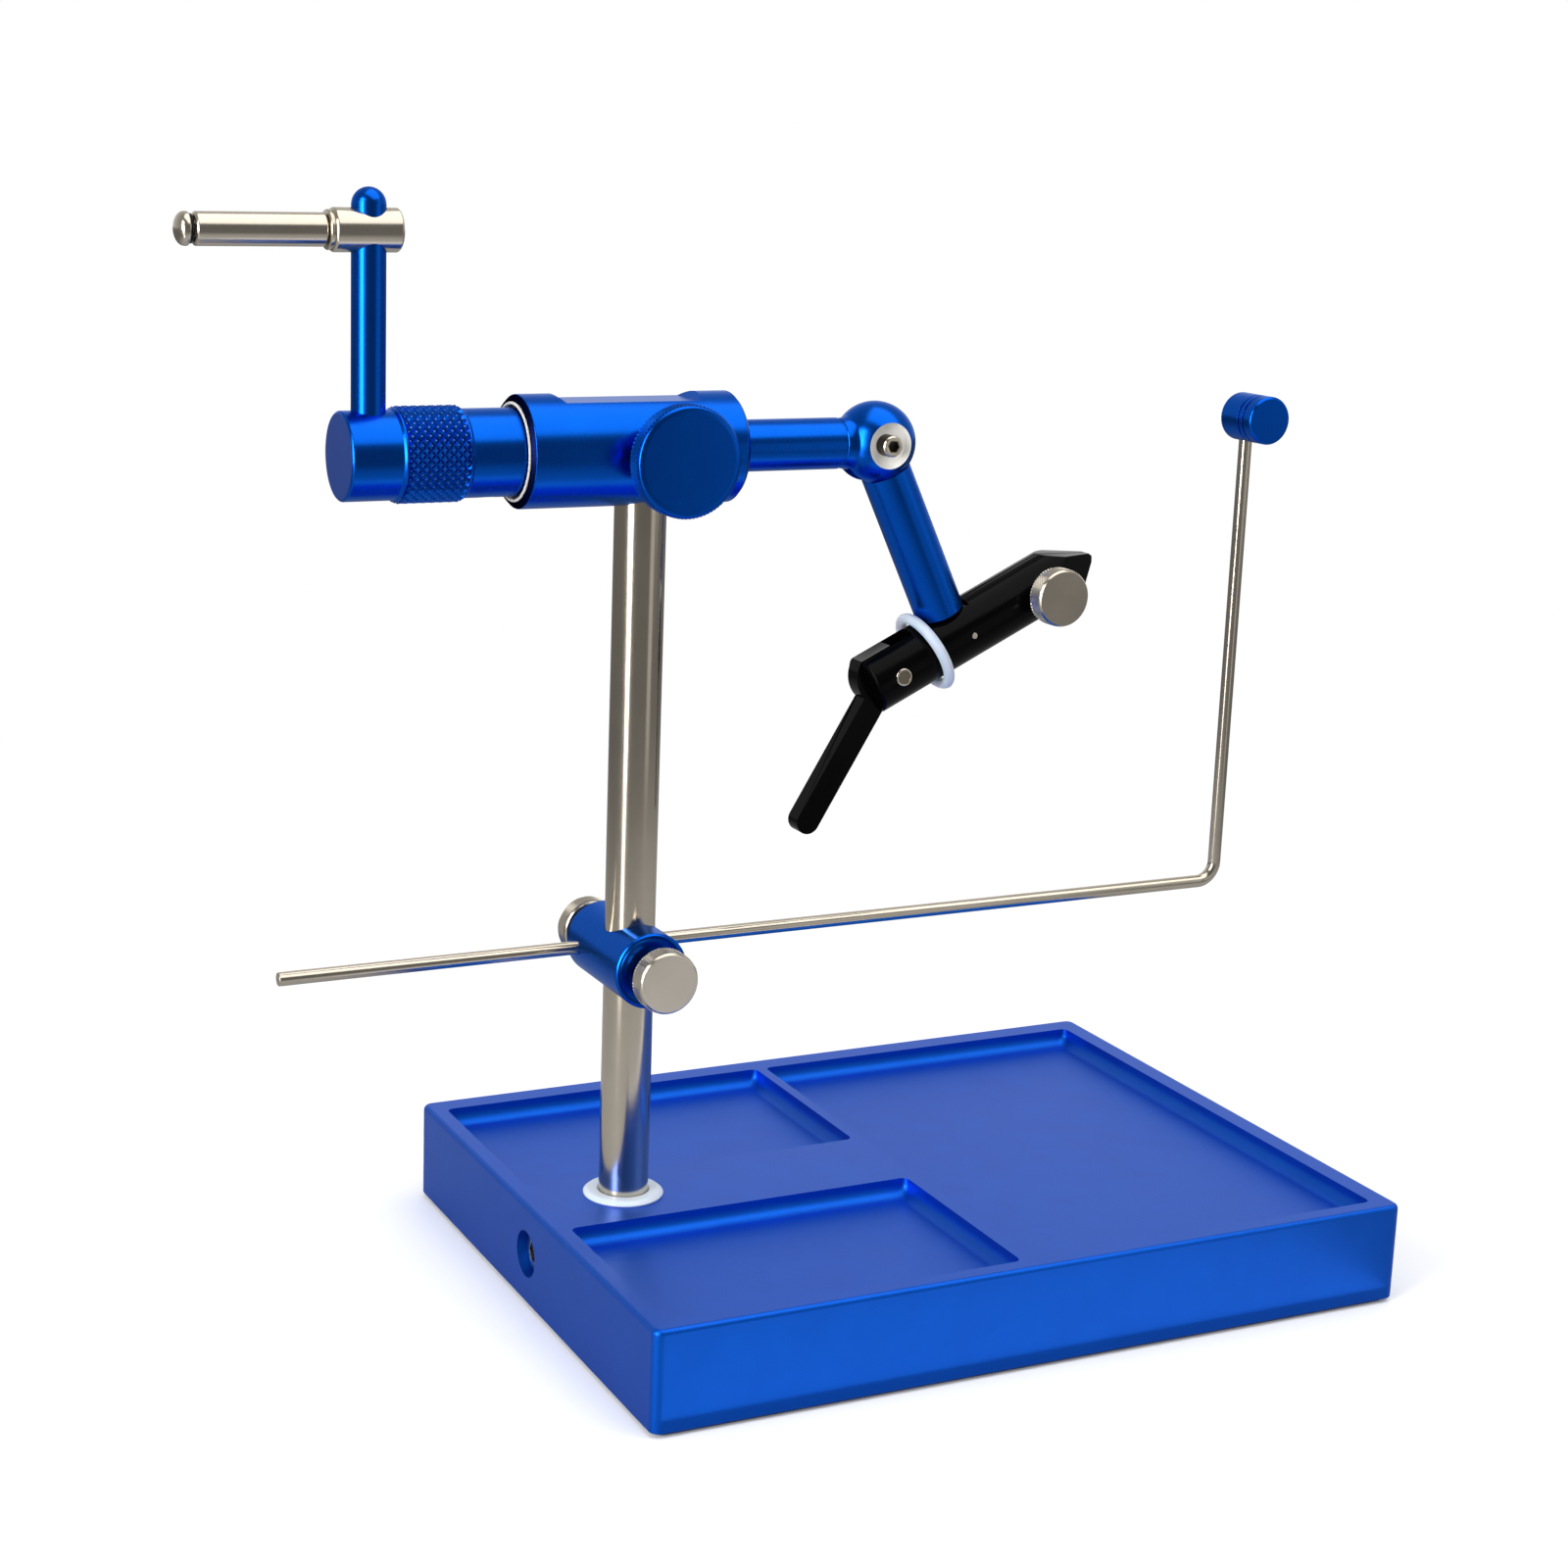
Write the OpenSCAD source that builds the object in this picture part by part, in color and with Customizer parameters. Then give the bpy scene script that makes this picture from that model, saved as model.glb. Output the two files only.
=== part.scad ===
// Rotary fly tying vise on a tray base, with a bobbin cradle on its post.
// Millimetres. +X runs along the spindle from the crank to the jaws, +Y to the back, +Z up.
// The origin is the centre of the base's underside.

/* [Base] */
// Length of the base, along the spindle
base_len = 158; // [150:1:175]
// Depth of the base, front to back
base_dep = 118; // [112:1:140]
// Thickness of the metal plate
plate_th = 19.2; // [17:0.2:26]
// Thickness of the rubber sheet under the plate
pad_th = 0.8; // [0.5:0.1:2]
// Distance from the plate's edge to the rubber sheet's edge
pad_inset = 1.2; // [0.6:0.1:4]
// Radius of the plate's upright corners
corner_r = 2; // [1:0.25:3]
// Chamfer round the plate's top edge
edge_c = 1; // [0.5:0.1:1.5]
// Depth of the three tray pockets
pocket_dep = 3.5; // [2.8:0.1:6]
// Radius of the cove at the foot of a pocket's walls
cove_r = 2.5; // [1.5:0.1:2.7]
// Radius of a pocket's upright corners
pocket_corner_r = 1.3; // [1:0.1:2.5]
// Width of the rim left of the small pockets
rim_left = 3.6; // [3:0.1:6]
// Width of the rim right of the large pocket
rim_right = 4.8; // [3:0.1:8]
// Width of the rim in front of the pockets
rim_front = 3.6; // [3:0.1:6]
// Width of the rim behind the pockets
rim_back = 5.4; // [3:0.1:8]
// Length of the two small pockets
small_pocket_len = 71; // [60:0.5:80]
// Width of the rib between the small pockets and the large one
rib_w = 2.2; // [1.6:0.1:8]
// Land in front of the post's axis, up to the front pocket
land_front = 12.6; // [10:0.1:18]
// Land behind the post's axis, up to the back pocket
land_back = 9.4; // [9:0.1:18]

/* [Post] */
// Diameter of the post
post_d = 9.5; // [9:0.1:10.5]
// Distance from the base's left end to the post's axis
post_inset = 19.8; // [19:0.1:28]
// Metal left under the post's hole
post_floor = 4.2; // [3:0.1:8]
// Height of the spindle's axis above the bench
axis_h = 162.3; // [155:0.1:180]
// Outer diameter of the washer at the post's foot
washer_d = 15.4; // [14:0.1:18]
// Thickness of the washer at the post's foot
washer_th = 1; // [0.6:0.1:1.6]
// Diameter of the stub that screws into the head
stub_d = 8; // [6:0.1:8.4]
// Depth of the post's full diameter in the head
post_seat = 2.6; // [2:0.1:3]
// Diameter of the set screw in the base
base_screw_d = 8; // [6:0.5:9]
// Depth of the set screw's outer end inside the base
base_screw_sink = 3; // [1:0.1:6]
// Extra diameter of the hole's mouth over the set screw
screw_mouth = 1; // [0.6:0.1:2]

/* [Head] */
// Diameter of the head
head_d = 20.2; // [19.8:0.1:22]
// Head from the post's axis to its crank end
head_rear = 25; // [23:0.1:30]
// Head from the post's axis to its jaw end
head_front = 17.2; // [17:0.1:22]
// Chamfer of the head's ends
head_c = 0.8; // [0.4:0.1:1.2]
// Depth of the flat milled along the head's top
flat_dep = 1.2; // [0.6:0.1:2]
// Full collar left at each end of the flat
collar_len = 7.1; // [5:0.1:9]
// Diameter of the spindle inside the head
spindle_in_d = 8; // [7.6:0.1:8.2]
// Clearance of the head's tunnel round the spindle
tunnel_gap = 0.3; // [0.2:0.05:0.4]
// Outer diameter of the bushes
bush_d = 12; // [11:0.1:13]
// Length of each bush
bush_len = 10; // [8:0.1:10.4]
// Outer diameter of the thrust washer
thrust_d = 17.6; // [16.6:0.1:17.8]
// Thickness of the thrust washer
thrust_th = 1; // [0.6:0.1:1.2]
// Depth of the recess that holds the thrust washer
thrust_sink = 1.5; // [1.4:0.05:2]
// Depth of the recess where the spindle's shoulder enters
nose_sink = 1.2; // [0.8:0.1:1.6]

/* [Brake] */
// Diameter of the brake knob
brake_d = 20.4; // [16:0.1:22]
// Thickness of the brake knob
brake_th = 4.2; // [3.5:0.1:6]
// Height of the boss between the brake knob and the head
brake_boss = 2; // [0.8:0.1:3]
// Diameter of the brake's stud
brake_stud_d = 6; // [4:0.1:6.4]
// Brake's axis to the right of the post's axis
brake_x = 2; // [1:0.1:2.4]
// Brake's axis below the spindle's axis
brake_drop = 0.6; // [0:0.1:0.8]
// Length of the brake's nylon plug
plug_len = 2; // [1:0.1:3]

/* [Crank] */
// Diameter of the crank's hub
hub_d = 15.6; // [14.6:0.1:16.4]
// Length of the crank's hub outside the head
hub_len = 31.8; // [30:0.1:36]
// Diameter over the hub's knurled band
band_d = 17; // [16.6:0.1:19]
// Distance from the hub's outer end to its knurled band
band_start = 9.6; // [9:0.1:11]
// Length of the knurled band
band_len = 12.1; // [8:0.1:14]
// Distance from the hub's outer end to the crank arm
arm_inset = 5.3; // [4.5:0.1:5.6]
// Diameter of the crank arm
crank_d = 6; // [5:0.1:6.2]
// Height of the handle's axis above the spindle's axis
handle_h = 38.2; // [34:0.1:45]
// Height of the crank arm's domed end above the handle's axis
arm_over = 7.2; // [6:0.1:9]
// Diameter of the collar on the crank arm
collar_d = 7.5; // [7:0.1:9]
// Collar from the crank arm's axis to its grip end
collar_grip = 7.6; // [6:0.1:10]
// Collar from the crank arm's axis to its free end
collar_free = 5.3; // [4.5:0.1:9]
// Diameter of the handle's sleeve
sleeve_d = 5.7; // [5:0.1:7]
// Length of the handle's sleeve
sleeve_len = 22.6; // [16:0.1:28]
// Diameter of the handle's pin
pin_d = 3.4; // [2.6:0.1:3.8]
// Length of the pin's domed head
button_len = 2.3; // [1.5:0.1:2.6]
// Thickness of the dark washer at the button
grip_washer_th = 0.7; // [0.4:0.1:1.2]
// Diameter of the hub's set screw
hub_screw_d = 4; // [3:0.5:5]

/* [Knuckle] */
// Diameter of the spindle outside the head
spindle_d = 9.5; // [9.1:0.1:10]
// Distance from the post's axis to the knuckle's centre
knuckle_x = 47.4; // [42:0.1:54]
// Diameter of the knuckle's ball
ball_d = 15.4; // [15:0.1:18]
// Distance from the ball's centre to the groove round its neck
neck_x = 7.9; // [7:0.1:9]
// Depth of the groove round the ball's neck
neck_dep = 0.3; // [0.2:0.05:0.6]
// Width of the slot through the ball
slot_w = 4; // [3.4:0.1:4.6]
// Thickness of the ball's wall behind the tongue's round end
ball_wall = 1.5; // [1.3:0.1:1.8]
// Distance from the ball's centre to the flat under the pivot nut
spot_y = 6.2; // [5.8:0.1:6.4]
// Diameter of the recess round the pivot screw's end
recess_d = 8.6; // [8:0.1:9.4]
// Distance from the ball's centre to the recess's floor
recess_y = 4.5; // [4:0.1:5.2]
// Diameter of the pivot screw
pivot_d = 4; // [3:0.1:4.4]
// Distance from the ball's centre to the pivot screw's end
pivot_end = 7.5; // [6.6:0.1:7.6]
// Thickness of the pivot nut
nut_th = 2.4; // [1.8:0.1:3.2]
// Width across the flats of the pivot nut
nut_af = 7; // [6.4:0.1:7.4]

/* [Jaw arm and jaws] */
// Angle of the jaws above level
jaw_angle = 25.7; // [20:0.1:32]
// Diameter of the jaw arm
arm_d = 9.5; // [9:0.1:10]
// Distance from the knuckle's centre to the jaws' axis
arm_reach = 42.1; // [36:0.1:48]
// Diameter of the jaws' barrel
jaw_d = 11.8; // [11.6:0.1:13]
// Jaws from the arm's axis to their rear end
jaw_rear = 19.6; // [19.3:0.1:23]
// Jaws from the arm's axis to their tip
jaw_front_len = 33.9; // [32:0.1:38]
// Chamfer of the barrel's rear edge
jaw_rear_c = 0.4; // [0.3:0.1:1.5]
// Gap between the two halves
split_gap = 0.4; // [0.36:0.02:0.8]
// Distance from the tip back to the start of the top slope
nose_top = 10.6; // [8:0.1:12]
// Distance from the tip back to the start of the bottom slope
nose_low = 7.6; // [5:0.1:12]
// Distance from the tip back to the start of the side slopes
nose_side = 10.5; // [8:0.1:11]
// Height of the tip
tip_h = 1; // [0.6:0.1:2]
// Width of the tip over both halves
tip_w = 2.4; // [1.6:0.1:3.4]
// Depth of the flat that the arm stands on
seat_dep = 0.5; // [0.3:0.1:0.8]
// Diameter of the arm's tenon
tenon_d = 4; // [3.6:0.1:4.2]
// Length of the arm's tenon
tenon_len = 3; // [2:0.1:4]
// Diameter of the screw that holds the arm
arm_screw_d = 2.5; // [2:0.1:2.6]
// Distance from the jaws' tip back to the adjusting screw
adjust_back = 14; // [13.9:0.1:16]
// Diameter of the adjusting screw
adjust_d = 3; // [2.4:0.1:3.4]
// Diameter of the adjusting knob
adjust_knob_d = 11.2; // [9:0.1:13]
// Thickness of the adjusting knob
adjust_knob_th = 4; // [3:0.1:6]
// Height of the boss under the adjusting knob
adjust_boss = 2.6; // [1:0.1:4]
// Distance from the arm's axis forward to the dowel
dowel_x = 2.6; // [2.5:0.1:5]
// Diameter of the dowel
dowel_d = 1.4; // [1:0.1:1.6]
// Inner gap between the rubber ring and the barrel
ring_gap = 0.35; // [0.3:0.05:0.6]
// Thickness of the rubber ring
ring_th = 2.1; // [1.6:0.1:2.6]
// Distance from the arm's axis back to the rubber ring
ring_x = 5.7; // [5.6:0.1:7]
// Tilt of the rubber ring, its top away from the arm
ring_tilt = 4; // [0:0.5:6]

/* [Cam lever] */
// Distance from the arm's axis back to the cam pin
cam_x = 14; // [13.8:0.1:14.6]
// Diameter of the cam pin
cam_pin_d = 3.5; // [2.8:0.1:4]
// Diameter of the lever's round head
cam_head_d = 11.8; // [11:0.1:12]
// Head's middle from the cam pin towards the lever's end
cam_back = 1.4; // [1:0.1:1.8]
// Head's middle above the cam pin, square to the lever
cam_up = 1.7; // [1.4:0.1:2]
// Height over the cam pin of the flat that lies along the jaws' top
cam_flat = 5.5; // [5.3:0.1:5.8]
// Thickness of the lever
lever_th = 3.7; // [3:0.1:3.9]
// Width of the lever's bar
lever_w = 4.8; // [4:0.1:5.4]
// Middle line of the lever's bar above the cam pin
lever_up = 0.7; // [0.4:0.1:1]
// Distance from the cam pin to the centre of the lever's round end
lever_len = 32.7; // [28:0.1:36]
// Angle of the lever below the jaws' axis
lever_drop = 33.6; // [28:0.1:36]

/* [Bobbin cradle] */
// Height of the cradle's block above the bench
cradle_h = 67.2; // [50:0.1:90]
// Diameter of the block
block_d = 14.4; // [13.6:0.1:16]
// Block in front of the post's axis
block_front = 10.5; // [9:0.1:13]
// Block behind the post's axis
block_back = 13.5; // [12:0.1:16]
// Chamfer of the block's ends
block_c = 0.6; // [0.3:0.1:1]
// Diameter of the cradle's rod
rod_d = 2.6; // [2.4:0.1:3.2]
// Rod's axis behind the post's axis
rod_y = 8; // [7.6:0.1:8.6]
// Rod from the post's axis to its left end
rod_left = 65.6; // [50:0.1:75]
// Rod from the post's axis to its upright part
rod_right = 137.5; // [125:0.1:150]
// Bend radius at the rod's middle line
bend_r = 4; // [3:0.1:10]
// Height of the cradle's head above the rod's level part
rise_h = 97.1; // [80:0.1:110]
// Diameter of the cradle's head
cradle_head_d = 9.6; // [8.6:0.1:12]
// Cradle's head in front of the rod
head_before = 7.7; // [5:0.1:10]
// Cradle's head behind the rod
head_behind = 2.6; // [2.2:0.1:6]
// Distance from the head's front face to its first groove
groove_start = 2.5; // [1.5:0.1:3]
// Distance between the grooves
groove_pitch = 1.5; // [1:0.1:2]
// Width of each groove
groove_w = 0.5; // [0.3:0.1:0.8]
// Diameter of the thumb screws' knobs
thumb_d = 11.9; // [10:0.1:14]
// Thickness of the thumb screws' knobs
thumb_th = 4; // [3:0.1:6]
// Height of the boss under each knob
thumb_boss = 3.6; // [2:0.1:5]
// Diameter of the thumb screws' threads
thumb_screw_d = 4; // [3:0.1:5]

/* [Fits] */
// Radial clearance of what turns or slides
run_fit = 0.05; // [0.03:0.01:0.08]
// Radial clearance of what is pressed or screwed in
snug = 0.02; // [0.01:0.005:0.03]
// End clearance between pieces that turn on each other
end_gap = 0.1; // [0.05:0.01:0.15]
// Free space between pieces that pass each other
free_gap = 0.3; // [0.25:0.01:0.4]

/* [Hidden] */
$fn = 64;
blue = [0.04, 0.20, 0.72];
steel = [0.72, 0.70, 0.67];
black = [0.05, 0.05, 0.06];
white = [0.86, 0.90, 0.95];
bronze = [0.66, 0.50, 0.28];

top_z = pad_th + plate_th;
post_x = post_inset - base_len / 2;
post_r = post_d / 2;
head_r = head_d / 2;
head_len = head_rear + head_front;
ball_r = ball_d / 2;
tongue_r = ball_r - ball_wall - free_gap;
tongue_t = slot_w - 2 * run_fit;
jaw_r = jaw_d / 2;
arm_end = arm_reach - jaw_r + seat_dep;
tenon_y = split_gap / 2 + tenon_d / 2 + 0.5;
screw_head_d = arm_screw_d + 2;
lever_slot = lever_th + 0.8;
adjust_flat = jaw_r - 0.5;
adjust_x = jaw_front_len - adjust_back;
rear_bush_x = thrust_sink - head_rear;
front_bush_x = head_front - nose_sink - bush_len;
hub_x = -head_rear - hub_len;
hub_nose = thrust_sink - thrust_th - end_gap;
crank_x = hub_x + arm_inset;
band_x = hub_x + band_start;
hub_bore_x = band_x - end_gap;
brake_back = head_r + free_gap + brake_boss;
collar_x = crank_x - collar_grip;
sleeve_x = collar_x - end_gap - sleeve_len;
button_x = sleeve_x - grip_washer_th - 2 * end_gap;
screw_tip_y = thumb_boss + free_gap;

// Frames of the sub-assemblies
module at_post() translate([post_x, 0, 0]) children();
module at_head() translate([post_x, 0, axis_h]) children();
module at_handle() translate([post_x, 0, axis_h + handle_h]) children();
module at_knuckle() translate([post_x + knuckle_x, 0, axis_h]) rotate([0, -jaw_angle, 0]) children();
module at_jaws() at_knuckle() translate([0, 0, -arm_reach]) children();
module at_cam() at_jaws() translate([-cam_x, 0, 0]) rotate([0, -lever_drop, 0]) children();
module at_cradle() translate([post_x, 0, cradle_h]) children();
module at_brake() at_head() translate([brake_x, 0, -brake_drop]) children();

// Round bars between two places on an axis, with a chamfer at either end
module bar(r, from, to, c0 = 0, c1 = 0)
    translate([0, 0, from])
        rotate_extrude()
            polygon([[0, 0], [r - c0, 0], [r, c0], [r, to - from - c1], [r - c1, to - from], [0, to - from]]);
module x_bar(r, from, to, c0 = 0, c1 = 0) rotate([0, 90, 0]) bar(r, from, to, c0, c1);
module y_bar(r, from, to, c0 = 0, c1 = 0) rotate([-90, 0, 0]) bar(r, from, to, c0, c1);

// Hexagonal recess, af across its flats, from the given place upwards
module hex_cut(af, from, to) translate([0, 0, from]) cylinder(d = af / cos(30), h = to - from, $fn = 6);

module slab(len, dep, r, from, to)
    translate([0, 0, from]) linear_extrude(to - from) {
        for (sx = [-1, 1], sy = [-1, 1])
            translate([sx * (len / 2 - r), sy * (dep / 2 - r)]) circle(r);
        square([len - 2 * r, dep], center = true);
        square([len, dep - 2 * r], center = true);
    }

// A square bar lying on one top edge, which cuts the chamfer
module edge_cut(len) rotate([45, 0, 0]) cube([len, edge_c * sqrt(2), edge_c * sqrt(2)], center = true);

// Upright section of a pocket between two places, with a cove at either foot
module trough(from, to) {
    floor_z = top_z - pocket_dep;
    for (u = [from + cove_r, to - cove_r]) translate([u, floor_z + cove_r]) circle(cove_r);
    translate([from + cove_r, floor_z]) square([to - from - 2 * cove_r, pocket_dep + 2]);
    translate([from, floor_z + cove_r]) square([to - from, pocket_dep]);
}

// A pocket with coved feet and rounded corners, open at the plate's top
module pocket(x0, x1, y0, y1) intersection() {
    translate([(x0 + x1) / 2, (y0 + y1) / 2, 0])
        slab(x1 - x0, y1 - y0, pocket_corner_r, top_z - pocket_dep - 1, top_z + 1);
    translate([x0 - 1, 0, 0]) rotate([90, 0, 90]) linear_extrude(x1 - x0 + 2) trough(y0, y1);
    translate([0, y1 + 1, 0]) rotate([90, 0, 0]) linear_extrude(y1 - y0 + 2) trough(x0, x1);
}

module base_plate() color(blue) {
    left = rim_left - base_len / 2;
    rib = left + small_pocket_len;
    right = base_len / 2 - rim_right;
    front = rim_front - base_dep / 2;
    back = base_dep / 2 - rim_back;
    screw_z = pad_th + plate_th / 2;
    difference() {
        slab(base_len, base_dep, corner_r, pad_th, top_z);
        for (s = [-1, 1]) {
            translate([0, s * base_dep / 2, top_z]) edge_cut(base_len + 2);
            translate([s * base_len / 2, 0, top_z]) rotate([0, 0, 90]) edge_cut(base_dep + 2);
        }
        pocket(left, rib, front, -land_front);
        pocket(left, rib, land_back, back);
        pocket(rib + rib_w, right, front, back);
        at_post() bar(post_r + run_fit, pad_th + post_floor, top_z + 1);
        translate([0, 0, screw_z]) {
            x_bar(base_screw_d / 2 + snug, -base_len / 2 - 1, post_x);
            x_bar((base_screw_d + screw_mouth) / 2, -base_len / 2 - 1, base_screw_sink - base_len / 2);
        }
    }
}

module base_pad() color(black) slab(base_len - 2 * pad_inset, base_dep - 2 * pad_inset, corner_r, 0, pad_th);

module base_set_screw() color(steel) {
    outer = base_screw_sink - base_len / 2;
    translate([0, 0, pad_th + plate_th / 2]) difference() {
        x_bar(base_screw_d / 2, outer, post_x - post_r - end_gap, 0.4, 1);
        rotate([0, 90, 0]) hex_cut(base_screw_d / 2, outer - 1, outer + base_screw_d / 2);
    }
}

module post_washer() color(white) at_post() difference() {
    bar(washer_d / 2, top_z, top_z + washer_th, 0, washer_th / 3);
    bar(post_r + run_fit, top_z - 1, top_z + washer_th + 1);
}

module post() color(steel) at_post() {
    shoulder = axis_h - head_r + post_seat;
    bar(post_r, pad_th + post_floor + end_gap, shoulder, 0.5, 0.2);
    bar(stub_d / 2, shoulder - 1, axis_h - spindle_in_d / 2 - tunnel_gap - 0.7);
}

module head_body() color(blue) {
    cut = head_r - flat_dep;
    from = collar_len + flat_dep - head_rear;
    to = head_front - collar_len - flat_dep;
    at_head() difference() {
        x_bar(head_r, -head_rear, head_front, head_c, head_c);
        rotate([90, 0, 0]) linear_extrude(head_d + 2, center = true)
            polygon([[from, cut], [to, cut], [to + 2 * flat_dep, cut + 2 * flat_dep],
                     [from - 2 * flat_dep, cut + 2 * flat_dep]]);
        x_bar(spindle_in_d / 2 + tunnel_gap, -head_rear - 1, head_front + 1);
        x_bar(thrust_d / 2 + snug, -head_rear - 1, rear_bush_x);
        x_bar(bush_d / 2 + snug, rear_bush_x - 1, rear_bush_x + bush_len);
        x_bar(bush_d / 2 + snug, front_bush_x, head_front - nose_sink);
        x_bar(spindle_d / 2 + free_gap, head_front - nose_sink - 1, head_front + 1);
        bar(post_r + snug, -head_r - 1, post_seat - head_r);
        bar(stub_d / 2 + snug, -head_r - 1, -spindle_in_d / 2 - tunnel_gap - 0.6);
        translate([brake_x, 0, -brake_drop]) y_bar(brake_stud_d / 2 + run_fit, -head_r - 1, 0);
    }
}

module bush(x) color(bronze) at_head() difference() {
    x_bar(bush_d / 2, x, x + bush_len, 0.3, 0.3);
    x_bar(spindle_in_d / 2 + run_fit, x - 1, x + bush_len + 1);
}
module rear_bush() bush(rear_bush_x);
module front_bush() bush(front_bush_x);

module thrust_washer() color(steel) at_head() difference() {
    x_bar(thrust_d / 2, rear_bush_x - thrust_th, rear_bush_x, 0.2, 0);
    x_bar(spindle_in_d / 2 + tunnel_gap, rear_bush_x - thrust_th - 1, rear_bush_x + 1);
}

module brake_knob() color(blue) at_brake() difference() {
    union() {
        y_bar(brake_d / 2, -brake_back - brake_th, -brake_back, 0.5, 0.5);
        y_bar(brake_stud_d / 2 + 3, -brake_back - 1, -head_r - free_gap);
    }
    y_bar(brake_stud_d / 2 + snug, -brake_back - brake_th + 1.6, 0);
}

module brake_stud() color(steel) at_brake()
    y_bar(brake_stud_d / 2, -brake_back - brake_th + 1.6, -spindle_in_d / 2 - plug_len - 2 * end_gap, 0, 0.4);

module brake_plug() color(white) at_brake()
    y_bar(brake_stud_d / 2 - 0.1, -spindle_in_d / 2 - plug_len - end_gap, -spindle_in_d / 2 - end_gap);

// One turned piece: the shaft in the head, its shoulder and the slotted ball
module spindle() color(blue) at_head() difference() {
    union() {
        x_bar(spindle_in_d / 2, hub_bore_x + end_gap, head_front, 0.5, 0);
        x_bar(spindle_d / 2, head_front - nose_sink + end_gap, knuckle_x, 0.2, 0);
        translate([knuckle_x, 0, 0]) sphere(ball_r);
    }
    translate([knuckle_x - neck_x, 0, 0]) difference() {
        x_bar(spindle_d, -0.2, 0.2);
        x_bar(spindle_d / 2 - neck_dep, -1, 1);
    }
    translate([knuckle_x, 0, 0]) {
        knuckle_slot();
        translate([0, spot_y + ball_r, 0]) cube([ball_d, ball_d, ball_d], center = true);
        y_bar(recess_d / 2, -ball_d, -recess_y);
        y_bar(pivot_d / 2 + snug, -ball_r, ball_r);
    }
}

// Round where the tongue turns, and open below and towards the jaws for the arm's swing
module knuckle_slot() {
    r = tongue_r + free_gap;
    y_bar(r, -slot_w / 2, slot_w / 2);
    translate([-r, -slot_w / 2, -ball_r]) cube([r + ball_r, slot_w, ball_r]);
    translate([0, -slot_w / 2, 0]) cube([ball_r, slot_w, arm_d / 2 + free_gap]);
}

module crank_hub() color(blue) at_head() difference() {
    union() {
        x_bar(hub_d / 2, hub_x, hub_nose - head_rear, 0.3, 0.3);
        x_bar(band_d / 2, band_x, band_x + band_len, 0.4, 0.4);
    }
    x_bar(spindle_in_d / 2 + snug, hub_bore_x, -head_rear + 1);
    translate([crank_x, 0, 0]) bar(crank_d / 2 + snug, -3, head_r);
    translate([hub_screw_x(), 0, 0]) bar(hub_screw_d / 2 + snug, -head_r, 0);
}
function hub_screw_x() = (band_x + band_len - head_rear) / 2;

module hub_set_screw() color(steel) at_head() translate([hub_screw_x(), 0, 0]) difference() {
    bar(hub_screw_d / 2, -hub_d / 2 + 0.2, -spindle_in_d / 2 - snug, 0.3, 0.3);
    hex_cut(hub_screw_d / 2, -hub_d / 2 - 1, -hub_d / 2 + 1.8);
}

module crank_arm() color(blue) at_head() translate([crank_x, 0, 0]) {
    straight = handle_h + arm_over - crank_d / 2;
    bar(crank_d / 2, -3 + end_gap, straight, 0.4, 0);
    translate([0, 0, straight]) sphere(crank_d / 2);
}

module handle_collar() color(steel) at_handle() difference() {
    x_bar(collar_d / 2, collar_x, crank_x + collar_free, 0.5, 0.4);
    translate([crank_x, 0, 0]) bar(crank_d / 2 + snug, -collar_d, collar_d);
    x_bar(pin_d / 2 + snug, collar_x - 1, crank_x);
}

module handle_pin() color(steel) at_handle() {
    r = sleeve_d / 2;
    x_bar(pin_d / 2, button_x - 1, crank_x - crank_d / 2 - end_gap, 0, 0.3);
    translate([button_x, 0, 0]) rotate([0, -90, 0]) intersection() {
        scale_dome(r, button_len);
        bar(r, 0, button_len);
    }
}
// A spherical cap of radius r at its rim and height h, over a short straight edge
module scale_dome(r, h) {
    cap = h - 0.5;
    big = (r * r + cap * cap) / (2 * cap);
    translate([0, 0, h - big]) sphere(big);
}

module grip_washer() color(black) at_handle() difference() {
    x_bar(sleeve_d / 2 - 0.35, button_x + end_gap, button_x + end_gap + grip_washer_th);
    x_bar(pin_d / 2 + snug, button_x - 1, sleeve_x + 1);
}

module handle_sleeve() color(steel) at_handle() difference() {
    x_bar(sleeve_d / 2, sleeve_x, sleeve_x + sleeve_len, 0.3, 0.3);
    x_bar(pin_d / 2 + run_fit, sleeve_x - 1, sleeve_x + sleeve_len + 1);
}

module pivot_screw() color(steel) at_knuckle() difference() {
    y_bar(pivot_d / 2, -pivot_end, spot_y + nut_th + 0.6, 0.2, 0.4);
    rotate([-90, 0, 0]) hex_cut(pivot_d / 2, -ball_r - 1, -pivot_end + 2);
}

module pivot_nut() color(steel) at_knuckle() rotate([-90, 0, 0]) difference() {
    cylinder_hex(nut_af, spot_y, spot_y + nut_th);
    bar(pivot_d / 2 + snug, spot_y - 1, spot_y + nut_th + 1);
}
module cylinder_hex(af, from, to) intersection() {
    hex_cut(af, from, to);
    bar(af / cos(30) / 2, from, to, 0.3, 0.3);
}

// The tongue turns in the ball's slot and the arm's end is cupped round the ball
module jaw_arm() color(blue) at_knuckle() difference() {
    union() {
        difference() {
            bar(arm_d / 2, -arm_end, 0);
            sphere(ball_r + free_gap);
        }
        intersection() {
            cube([2 * ball_d, tongue_t, 2 * ball_d], center = true);
            union() {
                y_bar(tongue_r, -slot_w, slot_w);
                bar(arm_d / 2, -ball_r - 2, 0);
            }
        }
        translate([0, tenon_y, 0]) bar(tenon_d / 2, -arm_end - tenon_len, -arm_end + 1);
    }
    y_bar(pivot_d / 2 + run_fit, -ball_r, ball_r);
    translate([0, tenon_y, 0]) bar(arm_screw_d / 2 + snug, -arm_reach, -arm_end + 7);
}

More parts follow.
